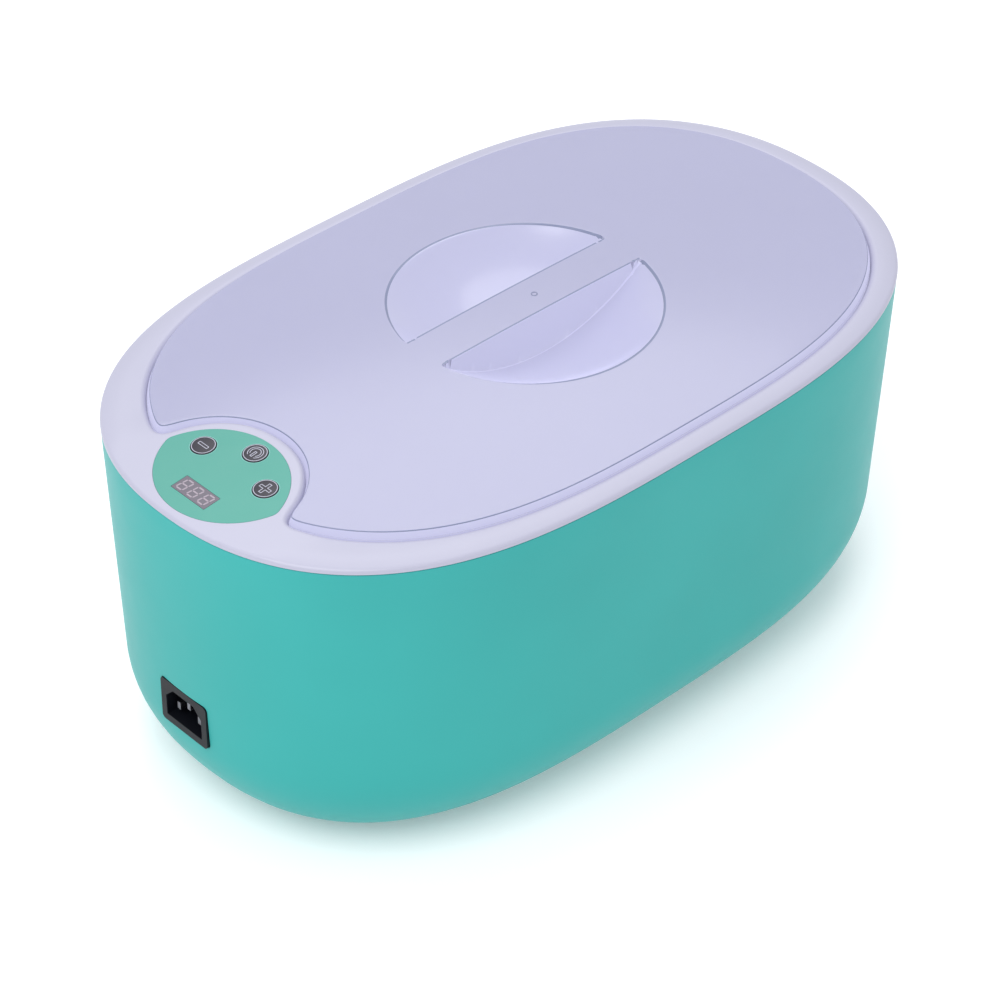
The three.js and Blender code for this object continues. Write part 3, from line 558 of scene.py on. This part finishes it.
def tub_cutters():
    """The inlet's opening and seat, the screw holes, the feet's seats and the vents."""
    along_y = Matrix.Translation((0, 0, INLET_Z * MM)) @ Matrix.Rotation(math.radians(90), 4, "X")
    outside = HALF_LENGTH + 10
    seat_back = -(INLET_FACE_Y + INLET_SEAT_DEPTH)
    cutters = [
        plate("cut", [rounded_rectangle(*INLET_OPENING)], HALF_LENGTH - 20, outside, along_y),
        plate("cut", [rounded_rectangle(*INLET_SEAT)], seat_back, outside, along_y),
    ]
    for side in (-1, 1):
        x = side * POST_X
        cutters.append(plate("cut", [circle(x, POST_Y, POST_HOLE_RADIUS, 40)], -5, POST_TOP_Z - 6))
        cutters.append(plate("cut", [circle(x, POST_Y, SCREW_RADIUS, 32)], POST_TOP_Z - 16, POST_TOP_Z + 4))
        for y in (-FOOT_Y, FOOT_Y):
            seat = circle(side * FOOT_X, y, FOOT_SEAT_RADIUS, 56)
            cutters.append(plate("cut", [seat], -5, TUB_BOTTOM_Z + FOOT_SEAT_DEPTH))
    for i in range(-VENTS_EACH_SIDE, VENTS_EACH_SIDE + 1):
        slot = rounded_rectangle(VENT_WIDTH, VENT_LENGTH, 1.2, i * VENT_PITCH, VENT_Y)
        cutters.append(plate("cut", [slot], -5, 12))
    return cutters


def make_tub():
    rings = [tub_ring(inset, z) for inset, z in tub_profile(0)]
    rings = rings[::-1] + [tub_ring(inset, z) for inset, z in tub_profile(TUB_WALL)]
    piece = loft("tub_shell", rings)
    in_floor = TUB_BOTTOM_Z + 2
    posts = []
    for side in (-1, 1):
        posts.append(plate("post", [circle(side * POST_X, POST_Y, POST_RADIUS, 40)], in_floor, POST_TOP_Z))
    for side in (-1, 1):
        for y in STANDOFF_YS:
            standoff = circle(side * STANDOFF_X, y, STANDOFF_RADIUS, 32)
            posts.append(plate("post", [standoff], in_floor, STANDOFF_TOP_Z))
    carve(piece, posts, "UNION")
    carve(piece, tub_cutters())
    smooth(piece, 30)
    dress(piece, "tub")
    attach(piece, "housing")
    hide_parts("outer_housing")


make_tub()


# ---- Top frame ----

recess_loop = notched_oval(0.2, POD_RADIUS + 0.3, 6.0)
opening_loop = pot_ring(-1, 0, 300)[:, :2]


CROWN_WIDTH, FRAME_EDGE_ROUND, FRAME_WALL, DECK_WALL = 9.0, 1.5, 2.4, 2.5
SHOULDER, RECESS_FOOT, RECESS_DRAFT, OPENING_ROUND = 3.0, 1.2, 0.3, 1.0
POD_HALF_WIDTH, POD_SIDE_BLEND, POD_BLEND_START, POD_BLEND_END = 62.0, 20.0, 118.0, 142.0
POD_WALL, HOLLOW_RADIUS = 2.9, 37.0
SKIRT_BOTTOM_Z, SKIRT_OUTSIDE, SKIRT_INSIDE = 163.0, 3.5, 5.5
FRAME_BOSS_RADIUS, CLAMP_BOSS_YS, CLAMP_BOSS_RADIUS = 4.2, (-45.0, 85.0), 3.6
BOARD_BOSS_X, BOARD_BOSS_Y, BOARD_BOSS_RADIUS = 22.0, -15.0, 3.0


def smoothstep(value, low, high):
    t = np.clip((value - low) / (high - low), 0, 1)
    return t * t * (3 - 2 * t)


def panel_plane(y):
    return PANEL_Z + math.tan(PANEL_TILT) * (y - PANEL_Y)


def outer_inset(points):
    return signed(points, tub_loop)


def fillet_drop(gap, radius):
    """How far a rounded edge has fallen at a distance gap inside it."""
    t = np.clip(gap / radius, 0, 1)
    return radius * (1 - np.sqrt(np.clip(1 - (1 - t) ** 2, 0, 1)))


def frame_top(points):
    """Height of the frame's upper face: crown, panel pod, recess wall and deck."""
    x, y = points[:, 0], points[:, 1]
    inset = outer_inset(points)
    crown = RIM_Z + (CROWN_Z - RIM_Z) * np.sin(np.pi / 2 * np.clip(inset / CROWN_WIDTH, 0, 1))
    pod = smoothstep(POD_HALF_WIDTH - np.abs(x), 0, POD_SIDE_BLEND)
    pod = pod * smoothstep(-y, POD_BLEND_START, POD_BLEND_END)
    surface = crown * (1 - pod) + panel_plane(y) * pod
    surface = surface - fillet_drop(inset, FRAME_EDGE_ROUND)
    into = signed(points, recess_loop)
    lean = np.clip(into + SHOULDER, 0, SHOULDER) / SHOULDER
    fallen = surface - SHOULDER * (1 - np.sqrt(np.clip(1 - lean ** 2, 0, 1)))
    floor = DECK_Z + fillet_drop(into - RECESS_DRAFT, RECESS_FOOT)
    wall = fallen + (floor - fallen) * np.clip(into / RECESS_DRAFT, 0, 1)
    result = np.where(into <= 0, fallen, np.where(into < RECESS_DRAFT, wall, floor))
    edge = -signed(points, opening_loop)
    return result - np.where(into > 0, fillet_drop(edge, OPENING_ROUND), 0)


def offset_points(loop, offsets):
    normals = inwards(loop)
    return np.concatenate([loop + normals * d for d in offsets])


def grid_points(loop, spacing, avoid, margin):
    """Staggered points inside a loop that keep clear of the given lines."""
    low, high = loop.min(0), loop.max(0)
    rows = np.arange(low[1], high[1], spacing * 0.866)
    spots = []
    for j, y in enumerate(rows):
        xs = np.arange(low[0] + (j % 2) * spacing / 2, high[0], spacing)
        spots.append(np.c_[xs, np.full(len(xs), y)])
    spots = np.concatenate(spots)
    spots = spots[inside(spots, loop)]
    for line in avoid:
        spots = spots[distance(spots, line) > margin]
    return spots


def frame_skin_mesh():
    """The frame's skin between its upper and lower faces, with mesh rows along every edge."""
    recess_rows = (-3.2, -2.6, -2.0, -1.4, -0.9, -0.5, -0.2, 0, 0.3, 0.5, 0.8, 1.2, 1.6, 2.4)
    extra = [
        offset_points(tub_loop, (0.12, 0.35, 0.7, 1.1, 1.6, 2.4, 3.5, 5.0, 6.8)),
        offset_points(even(recess_loop, 700), recess_rows),
        offset_points(opening_loop, (-0.2, -0.5, -1.0, -2.0)),
        circle(0, POD_CENTRE_Y, HOLLOW_RADIUS, 240),
        circle(0, POD_CENTRE_Y, HOLLOW_RADIUS + 0.2, 240),
    ]
    grid = grid_points(tub_loop, 3.0, [tub_loop, recess_loop, opening_loop], 3.6)
    grid = grid[~inside(grid, opening_loop)]
    pinned = np.concatenate(extra + [grid])
    pinned = pinned[inside(pinned, tub_loop) & ~inside(pinned, opening_loop)]
    points, tris = triangulate([tub_loop, opening_loop], pinned)
    top = frame_top(points)
    into = signed(points, recess_loop)
    bottom = np.where(into > 0, DECK_Z - DECK_WALL, np.minimum(top - FRAME_WALL, SEAM_Z))
    inset = outer_inset(points)
    bottom = np.where(inset < 3.4, SEAM_Z, np.minimum(bottom, top - 1.0))
    pod = np.hypot(points[:, 0], points[:, 1] - POD_CENTRE_Y) < HOLLOW_RADIUS + 0.01
    bottom = np.where(pod & (inset > 6.5), panel_plane(points[:, 1]) - POD_WALL, bottom)
    return slab("skin", points, tris, top, bottom)


def frame_bosses():
    """The bosses for the frame screws, the control board and the pot's clamps."""
    bosses = []
    for side in (-1, 1):
        foot = circle(side * POST_X, POST_Y, FRAME_BOSS_RADIUS, 40)
        bosses.append(plate("boss", [foot], POST_TOP_Z + 0.3, 172))
    for side in (-1, 1):
        foot = circle(side * BOARD_BOSS_X, BOARD_BOSS_Y, BOARD_BOSS_RADIUS, 32)
        bosses.append(plate("boss", [foot], -11.2, -2.3, panel_matrix))
    reach = POT_HALF_WIDTH + POT_FLANGE
    for y in CLAMP_BOSS_YS:
        along = (abs(y - POT_Y) / (POT_HALF_LENGTH + POT_FLANGE)) ** (END_POWER / 2)
        x = reach * math.sqrt(1 - along ** 2) ** (2 / SIDE_POWER) + 4.8
        for side in (-1, 1):
            bosses.append(plate("boss", [circle(side * x, y, CLAMP_BOSS_RADIUS, 32)], 166.9, 172))
    return bosses


def frame_cutters():
    """The overlay's seat, the key and display openings and the screws' pilot bores."""
    cutters = [plate("cut", [panel_outline(0.1)], -1.0, 8, panel_matrix)]
    for x, y in BUTTONS.values():
        cutters.append(plate("cut", [circle(x, y, BUTTON_RADIUS + 0.35, 48)], -30, 8, panel_matrix))
    width, length, middle = DISPLAY
    window = rounded_rectangle(width + 0.6, length + 0.6, 0.4, 0, middle)
    cutters.append(plate("cut", [window], -30, 8, panel_matrix))
    for side in (-1, 1):
        cutters.append(plate("cut", [circle(side * POST_X, POST_Y, SCREW_RADIUS, 32)], 140, 169))
    return cutters


def make_frame():
    skin = frame_skin_mesh()
    skirt = loft("skirt", [
        tub_ring(SKIRT_OUTSIDE, SKIRT_BOTTOM_Z),
        tub_ring(SKIRT_OUTSIDE, SEAM_Z + 0.2),
        tub_ring(SKIRT_INSIDE, SEAM_Z + 0.2),
        tub_ring(SKIRT_INSIDE, SKIRT_BOTTOM_Z),
    ], closed=True)
    carve(skin, [skirt] + frame_bosses(), "UNION")
    piece = carve(skin, frame_cutters())
    piece.name = "frame_skin"
    smooth(piece, 40)
    dress(piece, "frame")
    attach(piece, "housing")
    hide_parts("bezel")


make_frame()


# ---- Lid ----

# The third and fourth numbers are widths of painted light: the painted glint streak beside the grip bar, and
# the painted shade lines on the bar's edges.
WELL_CORNER, WALL_SLOPE, GLINT_STREAK_WIDTH, BAR_SHADE_LINE = 3.0, 30.0, 1.9, 0.85
LID_FIT, LID_DRAFT, LID_EDGE_ROUND, LID_SKIRT_DROP, LID_FOOT = 0.3, 1.3, 0.5, 3.2, 0.2
GATE_MARK_Y, GATE_MARK_OUTER, GATE_MARK_INNER = 14.0, 1.55, 1.15
lid_loop = even(recess_loop + inwards(recess_loop) * LID_FIT, 900)


def lid_dome(points, shrink=0.0):
    x = np.abs(points[:, 0]) / (RECESS_HALF_WIDTH - LID_SIDE_GAP)
    y = np.abs(points[:, 1] - LID_CENTRE_Y) / (RECESS_HALF_LENGTH - LID_SIDE_GAP)
    share = np.clip((x ** 2.5 + y ** 2.5) ** 0.4, 0, 1)
    return LID_CENTRE_Z - (LID_CENTRE_Z - LID_EDGE_Z) * share ** 2 - shrink


def well_gap(points):
    """Distance outside the outline of the finger wells, negative inside them."""
    rim = np.hypot(points[:, 0], points[:, 1] - WELL_Y) - WELL_RIM
    bar = BAR_HALF_WIDTH - np.abs(points[:, 0])
    corner = np.hypot(rim + WELL_CORNER, bar + WELL_CORNER) - WELL_CORNER
    return np.where((rim > -WELL_CORNER) & (bar > -WELL_CORNER), corner, np.maximum(rim, bar))


def lid_surface(points, wall=0.0):
    """Top of the lid, or its underside when wall is its thickness."""
    plateau = lid_dome(points, wall)
    away = points[:, 0] ** 2 + (points[:, 1] - WELL_Y) ** 2
    radius = WELL_RADIUS + wall
    bowl = WELL_Z - np.sqrt(np.clip(radius ** 2 - away, 1, None))
    soft = 0.35
    gap = plateau - bowl
    dip = plateau - 0.5 * (gap + np.sqrt(gap ** 2 + soft ** 2))
    surface = np.maximum(dip, plateau + WALL_SLOPE * np.minimum(well_gap(points) - wall, 0))
    if wall:
        return surface
    edge = signed(points, lid_loop)
    skirt = LID_SKIRT_DROP * np.clip((LID_DRAFT - edge) / (LID_DRAFT - LID_FOOT), 0, 1)
    return surface - skirt - fillet_drop(edge - LID_DRAFT, LID_EDGE_ROUND) - fillet_drop(edge, LID_FOOT)


def paint_lid_glow_and_shade(piece):
    """Marks the crisp edges, the bowls and the steep walls with painted light: dark painted shade lines on
    the edges, a stronger painted glow in the bowls, and the strongest painted glow on the steep walls and on
    a painted glint streak at the foot of the grip bar.
    """
    for look in ("lid_edge", "lid_bowl", "lid_wall"):
        piece.data.materials.append(materials[look])
    polygons = piece.data.polygons
    centres = np.array([face.center for face in polygons]) / MM
    upright = np.array([face.normal.z for face in polygons])
    below = lid_dome(centres[:, :2]) - centres[:, 2]
    gap = well_gap(centres[:, :2])
    edge = signed(centres[:, :2], lid_loop)
    look = np.zeros(len(polygons), int)
    # Bowls: a stronger painted glow.
    look[(gap < 0) & (upright > 0)] = 2
    # Steep walls, and a painted glint streak along the foot of the grip bar: the strongest painted glow.
    steep = (upright < 0.6) | (np.abs(centres[:, 0]) < BAR_HALF_WIDTH + GLINT_STREAK_WIDTH)
    look[(gap < 0) & steep & (upright > 0)] = 3
    # The lid's upright skirt: the strongest painted glow too.
    look[(np.abs(upright) < 0.5) & (edge < LID_DRAFT + 0.3)] = 3
    # Dark painted shade lines along the lid's top edge, the grip bar's edges and the wells' rims.
    crest_shade_line = (edge > LID_DRAFT - 0.02) & (edge < LID_DRAFT + 0.3)
    on_bar = np.abs(centres[:, 0]) < BAR_HALF_WIDTH
    bar_shade_line = on_bar & (gap > 0) & (gap < BAR_SHADE_LINE)
    rim_shade_line = ~on_bar & (gap > -1.0) & (gap < 0.1) & (np.abs(centres[:, 0]) > BAR_HALF_WIDTH + 0.7)
    look[(below < 1.1) & (upright > 0) & (crest_shade_line | bar_shade_line | rim_shade_line)] = 1
    for face, index in zip(polygons, look):
        face.material_index = int(index)


def make_gate_mark():
    """The small moulding ring on the grip bar."""
    ring = [circle(0, GATE_MARK_Y, GATE_MARK_OUTER, 40), circle(0, GATE_MARK_Y, GATE_MARK_INNER, 40)]
    piece = plate("lid_gate_mark", ring, LID_CENTRE_Z - 0.3, LID_CENTRE_Z + 0.25)
    bevel(piece, 0.08)
    # The moulding ring takes the lid's dark painted edge-shade colour.
    dress(piece, "lid_edge")
    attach(piece, "lid")


def bar_rows():
    """Mesh rows along both walls of the grip bar, close together where the wall turns."""
    across = (-3.0, -2.4, -2.0, -1.8, -1.6, -1.4, -1.3, -1.1, -BAR_SHADE_LINE, 0,
              0.06, 0.12, 0.25, 0.4, 0.55, 0.7, 1.0, 1.6, 2.6)
    along = np.arange(-56, 73, 1.5)
    rows = []
    for side in (-1, 1):
        for d in across:
            rows.append(np.c_[np.full(len(along), side * (BAR_HALF_WIDTH + d)), along])
    return rows


def rim_rows():
    """Mesh rows along the round rims of the wells and round their four corners."""
    rim = [circle(0, WELL_Y, WELL_RIM + d, 300) for d in (-3, -1.8, -1.0, -0.5, -0.2, 0.1, 0.5, 1.0, 1.8, 3)]
    rows = [row[np.abs(row[:, 0]) > BAR_HALF_WIDTH + 3] for row in rim]
    corner_x = BAR_HALF_WIDTH + WELL_CORNER
    corner_y = math.sqrt((WELL_RIM - WELL_CORNER) ** 2 - corner_x ** 2)
    for sx in (-1, 1):
        for sy in (-1, 1):
            for d in (-0.5, -0.25, -0.1, 0, 0.1, 0.3):
                rows.append(circle(sx * corner_x, WELL_Y + sy * corner_y, WELL_CORNER + d, 48))
    return rows


def make_lid():
    loop = even(lid_loop, 640)
    edge_rows = offset_points(loop, (0.06, 0.13, 0.2, 0.75, 1.3, 1.37, 1.47, 1.62, 1.8, 2.6, 3.8))
    grid = grid_points(loop, 3.2, [loop], 4.0)
    grid = grid[np.abs(np.hypot(grid[:, 0], grid[:, 1] - WELL_Y) - WELL_RIM) > 3.6]
    near_bar = (np.abs(np.abs(grid[:, 0]) - BAR_HALF_WIDTH) < 4.2) & (np.abs(grid[:, 1] - WELL_Y) < 66)
    grid = grid[~near_bar]
    pinned = np.concatenate([edge_rows] + bar_rows() + rim_rows() + [grid])
    points, tris = triangulate([loop], pinned)
    top = lid_surface(points)
    bottom = lid_surface(points, LID_WALL)
    skirt = signed(points, lid_loop) < LID_WALL + LID_DRAFT
    bottom = np.where(skirt, DECK_Z + 0.3, bottom)
    piece = slab("lid_shell", points, tris, top, bottom)
    smooth(piece, 50)
    dress(piece, "lid")
    paint_lid_glow_and_shade(piece)
    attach(piece, "lid")
    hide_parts("lid")


make_lid()
make_gate_mark()


# ---- Control panel ----

CAP_TOP, CAP_FLANGE_RADIUS, CAP_FLANGE_Z, CAP_STEM_RADIUS, CAP_STEM_Z = 0.45, 7.0, -3.1, 2.2, -6.0
DIGIT_PITCH, DIGIT_SLANT, DIGIT_WIDTH, DIGIT_HEIGHT = 6.9, math.radians(8), 3.9, 6.2
BAR_LENGTH, BAR_UPRIGHT, BAR_WIDTH = 3.3, 2.8, 0.72


def make_overlay():
    loops = [panel_outline(0, 60)]
    loops += [circle(x, y, BUTTON_RADIUS + 0.15, 64) for x, y in BUTTONS.values()]
    width, length, middle = DISPLAY
    loops.append(rounded_rectangle(width + 0.3, length + 0.3, 0.4, 0, middle))
    piece = plate("panel_overlay", loops, OVERLAY_TOP - 0.8, OVERLAY_TOP, panel_matrix)
    bevel(piece, 0.06, segments=1)
    dress(piece, "overlay")
    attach(piece, "housing")
    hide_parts("control_panel_overlay")


def make_painted_highlight_rings():
    """Pale rings on the overlay round the keys: a painted highlight for the lit edges of the key openings.
    """
    rings = []
    for x, y in BUTTONS.values():
        loops = [circle(x, y, BUTTON_RADIUS + 0.55, 72), circle(x, y, BUTTON_RADIUS + 0.3, 72)]
        rings.append(plate("ring", loops, OVERLAY_TOP - 0.1, OVERLAY_TOP + 0.015, panel_matrix))
    piece = join("panel_painted_highlight_rings", rings)
    dress(piece, "overlay_painted_highlight")
    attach(piece, "housing")


def stroke(points, width):
    """A closed band of a given width along a line of points, with square ends."""
    line = np.asarray(points, float)
    along = np.gradient(line, axis=0)
    along /= np.hypot(*along.T)[:, None]
    normal = np.c_[-along[:, 1], along[:, 0]] * width / 2
    return np.concatenate([line + normal, (line - normal)[::-1]])


def cross(reach, half):
    """The outline of a plus sign."""
    arm = np.array([(reach, -half), (reach, half), (half, half)])
    quarter = np.array([(0, 1), (-1, 0)])
    turns = [arm]
    for _ in range(3):
        turns.append(turns[-1] @ quarter)
    return np.concatenate(turns)


def glyph_loops(label):
    """Outline and hollow of each part of a key's sign."""
    if label == "minus":
        return [[rounded_rectangle(6.0, 1.7, 0.3), rounded_rectangle(5.4, 1.1, 0.15)]]
    if label == "plus":
        return [[cross(3.3, 0.85), cross(3.0, 0.55)]]
    outer = [stroke(arc(0, 0.2, 3.5, -58, 238, 48), 0.32)]
    inner = [stroke(arc(0, 0.2, 2.45, -48, 228, 36), 0.32)]
    stem = [rounded_rectangle(1.3, 3.6, 0.3, 0, -1.0), rounded_rectangle(0.66, 2.96, 0.1, 0, -1.0)]
    return [outer, inner, stem]


def make_button(label, x, y):
    radius = BUTTON_RADIUS
    profile = [
        (0, CAP_TOP), (radius - 0.25, CAP_TOP - 0.01), (radius - 0.12, CAP_TOP - 0.05),
        (radius - 0.03, CAP_TOP - 0.15), (radius, CAP_TOP - 0.5), (radius, CAP_FLANGE_Z),
        (CAP_FLANGE_RADIUS, CAP_FLANGE_Z), (CAP_FLANGE_RADIUS, CAP_FLANGE_Z - 1),
        (CAP_STEM_RADIUS, CAP_FLANGE_Z - 1), (CAP_STEM_RADIUS, CAP_STEM_Z), (0, CAP_STEM_Z),
    ]
    cap = turned(f"key_{label}", profile, 72, x, y, panel_matrix)
    smooth(cap, 40)
    dress(cap, "button")
    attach(cap, f"{label}_key")
    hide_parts(f"button_{label}")
    lift = panel_matrix @ Matrix.Translation((x * MM, y * MM, 0))
    ring = [circle(0, 0, 5.3, 72), circle(0, 0, 4.98, 72)]
    marks = [plate("ring", ring, CAP_TOP - 0.1, CAP_TOP + 0.02, lift)]
    marks += [plate("sign", loops, CAP_TOP - 0.1, CAP_TOP + 0.03, lift) for loops in glyph_loops(label)]
    sign = join(f"key_print_{label}", marks)
    dress(sign, "ink")
    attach(sign, f"{label}_key")


def segment(cx, cy, length, width, upright):
    """One bar of a digit, with pointed ends."""
    h, w = length / 2, width / 2
    spots = np.array([(-h, 0), (-h + w, w), (h - w, w), (h, 0), (h - w, -w), (-h + w, -w)])
    if upright:
        spots = spots[::-1, ::-1]
    return spots + (cx, cy)


def make_display():
    width, length, middle = DISPLAY
    face = rounded_rectangle(width, length, 0.3, 0, middle)
    body = plate("display_body", [face], -11.2, 0.05, panel_matrix)
    bevel(body, 0.15)
    dress(body, "display")
    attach(body, "housing")
    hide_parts("display_module")
    across, up = DIGIT_WIDTH / 2, DIGIT_HEIGHT / 2
    bars = []
    for digit in (-1, 0, 1):
        shapes = [segment(0, y, BAR_LENGTH, BAR_WIDTH, False) for y in (up, 0, -up)]
        for sx in (-1, 1):
            for sy in (-1, 1):
                shapes.append(segment(sx * across, sy * up / 2, BAR_UPRIGHT, BAR_WIDTH, True))
        for shape in shapes:
            shape[:, 0] += shape[:, 1] * math.tan(DIGIT_SLANT) + digit * DIGIT_PITCH
            shape[:, 1] += middle
            bars.append(plate("bar", [shape], -0.05, 0.09, panel_matrix))
    piece = join("display_segments", bars)
    dress(piece, "segments")
    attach(piece, "housing")


make_overlay()
make_painted_highlight_rings()
for label, (x, y) in BUTTONS.items():
    make_button(label, x, y)
make_display()


# ---- Pot ----

STUD_RADIUS, STUD_LENGTH, STUD_YS = 2.0, 9.0, (-50.0, 22.0, 94.0)


def make_pot():
    rows = []
    for inwards_by, rise in ((0, 0), (POT_WALL, POT_WALL)):
        side = []
        for angle in np.radians(np.linspace(90, 0, 10)):
            radius = POT_ROUND - inwards_by
            grow = -POT_TAPER - inwards_by - radius * (1 - math.cos(angle))
            side.append(pot_ring(grow, POT_BOTTOM_Z + rise + radius * (1 - math.sin(angle))))
        rows.append(side)
    under = POT_FLANGE_Z - POT_WALL
    rings = rows[0] + [pot_ring(0, under), pot_ring(POT_FLANGE, under), pot_ring(POT_FLANGE, POT_FLANGE_Z)]
    rings += [pot_ring(1.0, POT_FLANGE_Z), pot_ring(-0.6, POT_FLANGE_Z - 0.4)]
    rings += [pot_ring(-POT_WALL, POT_FLANGE_Z - 1.6)] + rows[1][::-1]
    piece = loft("pot_shell", rings)
    stud_end, stud_root = POT_BOTTOM_Z - STUD_LENGTH, POT_BOTTOM_Z + 0.2
    profile = [(0, stud_end), (STUD_RADIUS - 0.3, stud_end), (STUD_RADIUS, stud_end + 0.4),
               (STUD_RADIUS, stud_root), (0, stud_root)]
    studs = [turned("stud", profile, 24, 0, y) for y in STUD_YS]
    piece = join("pot_shell", [piece] + studs)
    smooth(piece, 40)
    dress(piece, "aluminium")
    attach(piece, "housing")
    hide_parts("inner_pot")


make_pot()


# ---- Carried-over nodes ----

REPLACED = {"outer_housing", "bezel", "lid", "control_panel_overlay", "display_module", "inner_pot",
            "button_minus", "button_power", "button_plus"}
EDGE_ROUNDS = {"inlet_housing": 0.25, "pot_grille": 0.3}
FOOT_ROUND = 0.5


def dress_nodes():
    """Materials for the CAD nodes that no visual piece stands for, and small rounds on the visible ones."""
    looks = {entry["node"]: entry["material_slot"] for entry in frame["record"]["subparts"]}
    for node, piece in frame["nodes"].items():
        if node in REPLACED:
            continue
        look = "pin" if node.startswith("inlet_pin") else looks[node]
        piece.data.materials.clear()
        piece.data.materials.append(materials[look])
        smooth(piece, 40)
        if node.startswith("rubber_foot"):
            bevel(piece, FOOT_ROUND)
        elif node in EDGE_ROUNDS:
            bevel(piece, EDGE_ROUNDS[node])


dress_nodes()


# ---- Stage ----

def make_stage():
    """A pale floor that glows slightly, a pale sky and two soft round lights."""
    corners = [(-6000, -6000, 0), (6000, -6000, 0), (6000, 6000, 0), (-6000, 6000, 0)]
    floor = new_object("floor", corners, [(0, 1, 2, 3)])
    n = Nodes("studio_floor")
    paper = n.mix(n.map(n.noise(3), 0, 1), (0.9, 0.9, 0.9, 1), (0.93, 0.93, 0.93, 1))
    n.set(n.shader.inputs["Base Color"], paper)
    n.shader.inputs["Roughness"].default_value = 0.9
    n.shader.inputs["Emission Color"].default_value = (1, 1, 1, 1)
    n.shader.inputs["Emission Strength"].default_value = 0.18
    floor.data.materials.append(n.material)

    world = bpy.data.worlds.new("studio")
    bpy.context.scene.world = world
    world.use_nodes = True
    world.node_tree.nodes["Background"].inputs["Color"].default_value = (0.93, 0.95, 1.0, 1)
    world.node_tree.nodes["Background"].inputs["Strength"].default_value = 0.8
    for name, place, size, power in (
        ("key", (0.45, -1.25, 2.0), 1.6, 27),
        ("back", (-0.74, 0.74, 2.1), 1.9, 18),
    ):
        light = bpy.data.lights.new(name, "AREA")
        light.shape = "DISK"
        light.size = size
        light.energy = power
        lamp = bpy.data.objects.new(name, light)
        lamp.location = place
        aim = Vector((0, 0, 0.1)) - Vector(place)
        lamp.rotation_euler = aim.to_track_quat("-Z", "Y").to_euler()
        bpy.context.scene.collection.objects.link(lamp)
    bpy.context.scene.view_settings.view_transform = "Standard"


def make_camera():
    """The photograph's viewpoint: above the panel end's right side, with a long lens."""
    azimuth, elevation, roll = math.radians(46.27), math.radians(38.25), math.radians(0.67)
    target = Vector((-2.4, -3.5, 75.5)) * MM
    level = Vector((math.sin(azimuth), -math.cos(azimuth), 0))
    back = level * math.cos(elevation) + Vector((0, 0, math.sin(elevation)))
    data = bpy.data.cameras.new("camera")
    data.sensor_width = 36
    data.lens = 3.455 * 36
    data.clip_end = 50
    camera = bpy.data.objects.new("camera", data)
    camera.location = target + back * 1.614
    turn = back.to_track_quat("Z", "Y").to_matrix().to_4x4() @ Matrix.Rotation(roll, 4, "Z")
    camera.rotation_euler = turn.to_euler()
    bpy.context.scene.collection.objects.link(camera)
    bpy.context.scene.camera = camera


make_stage()
make_camera()
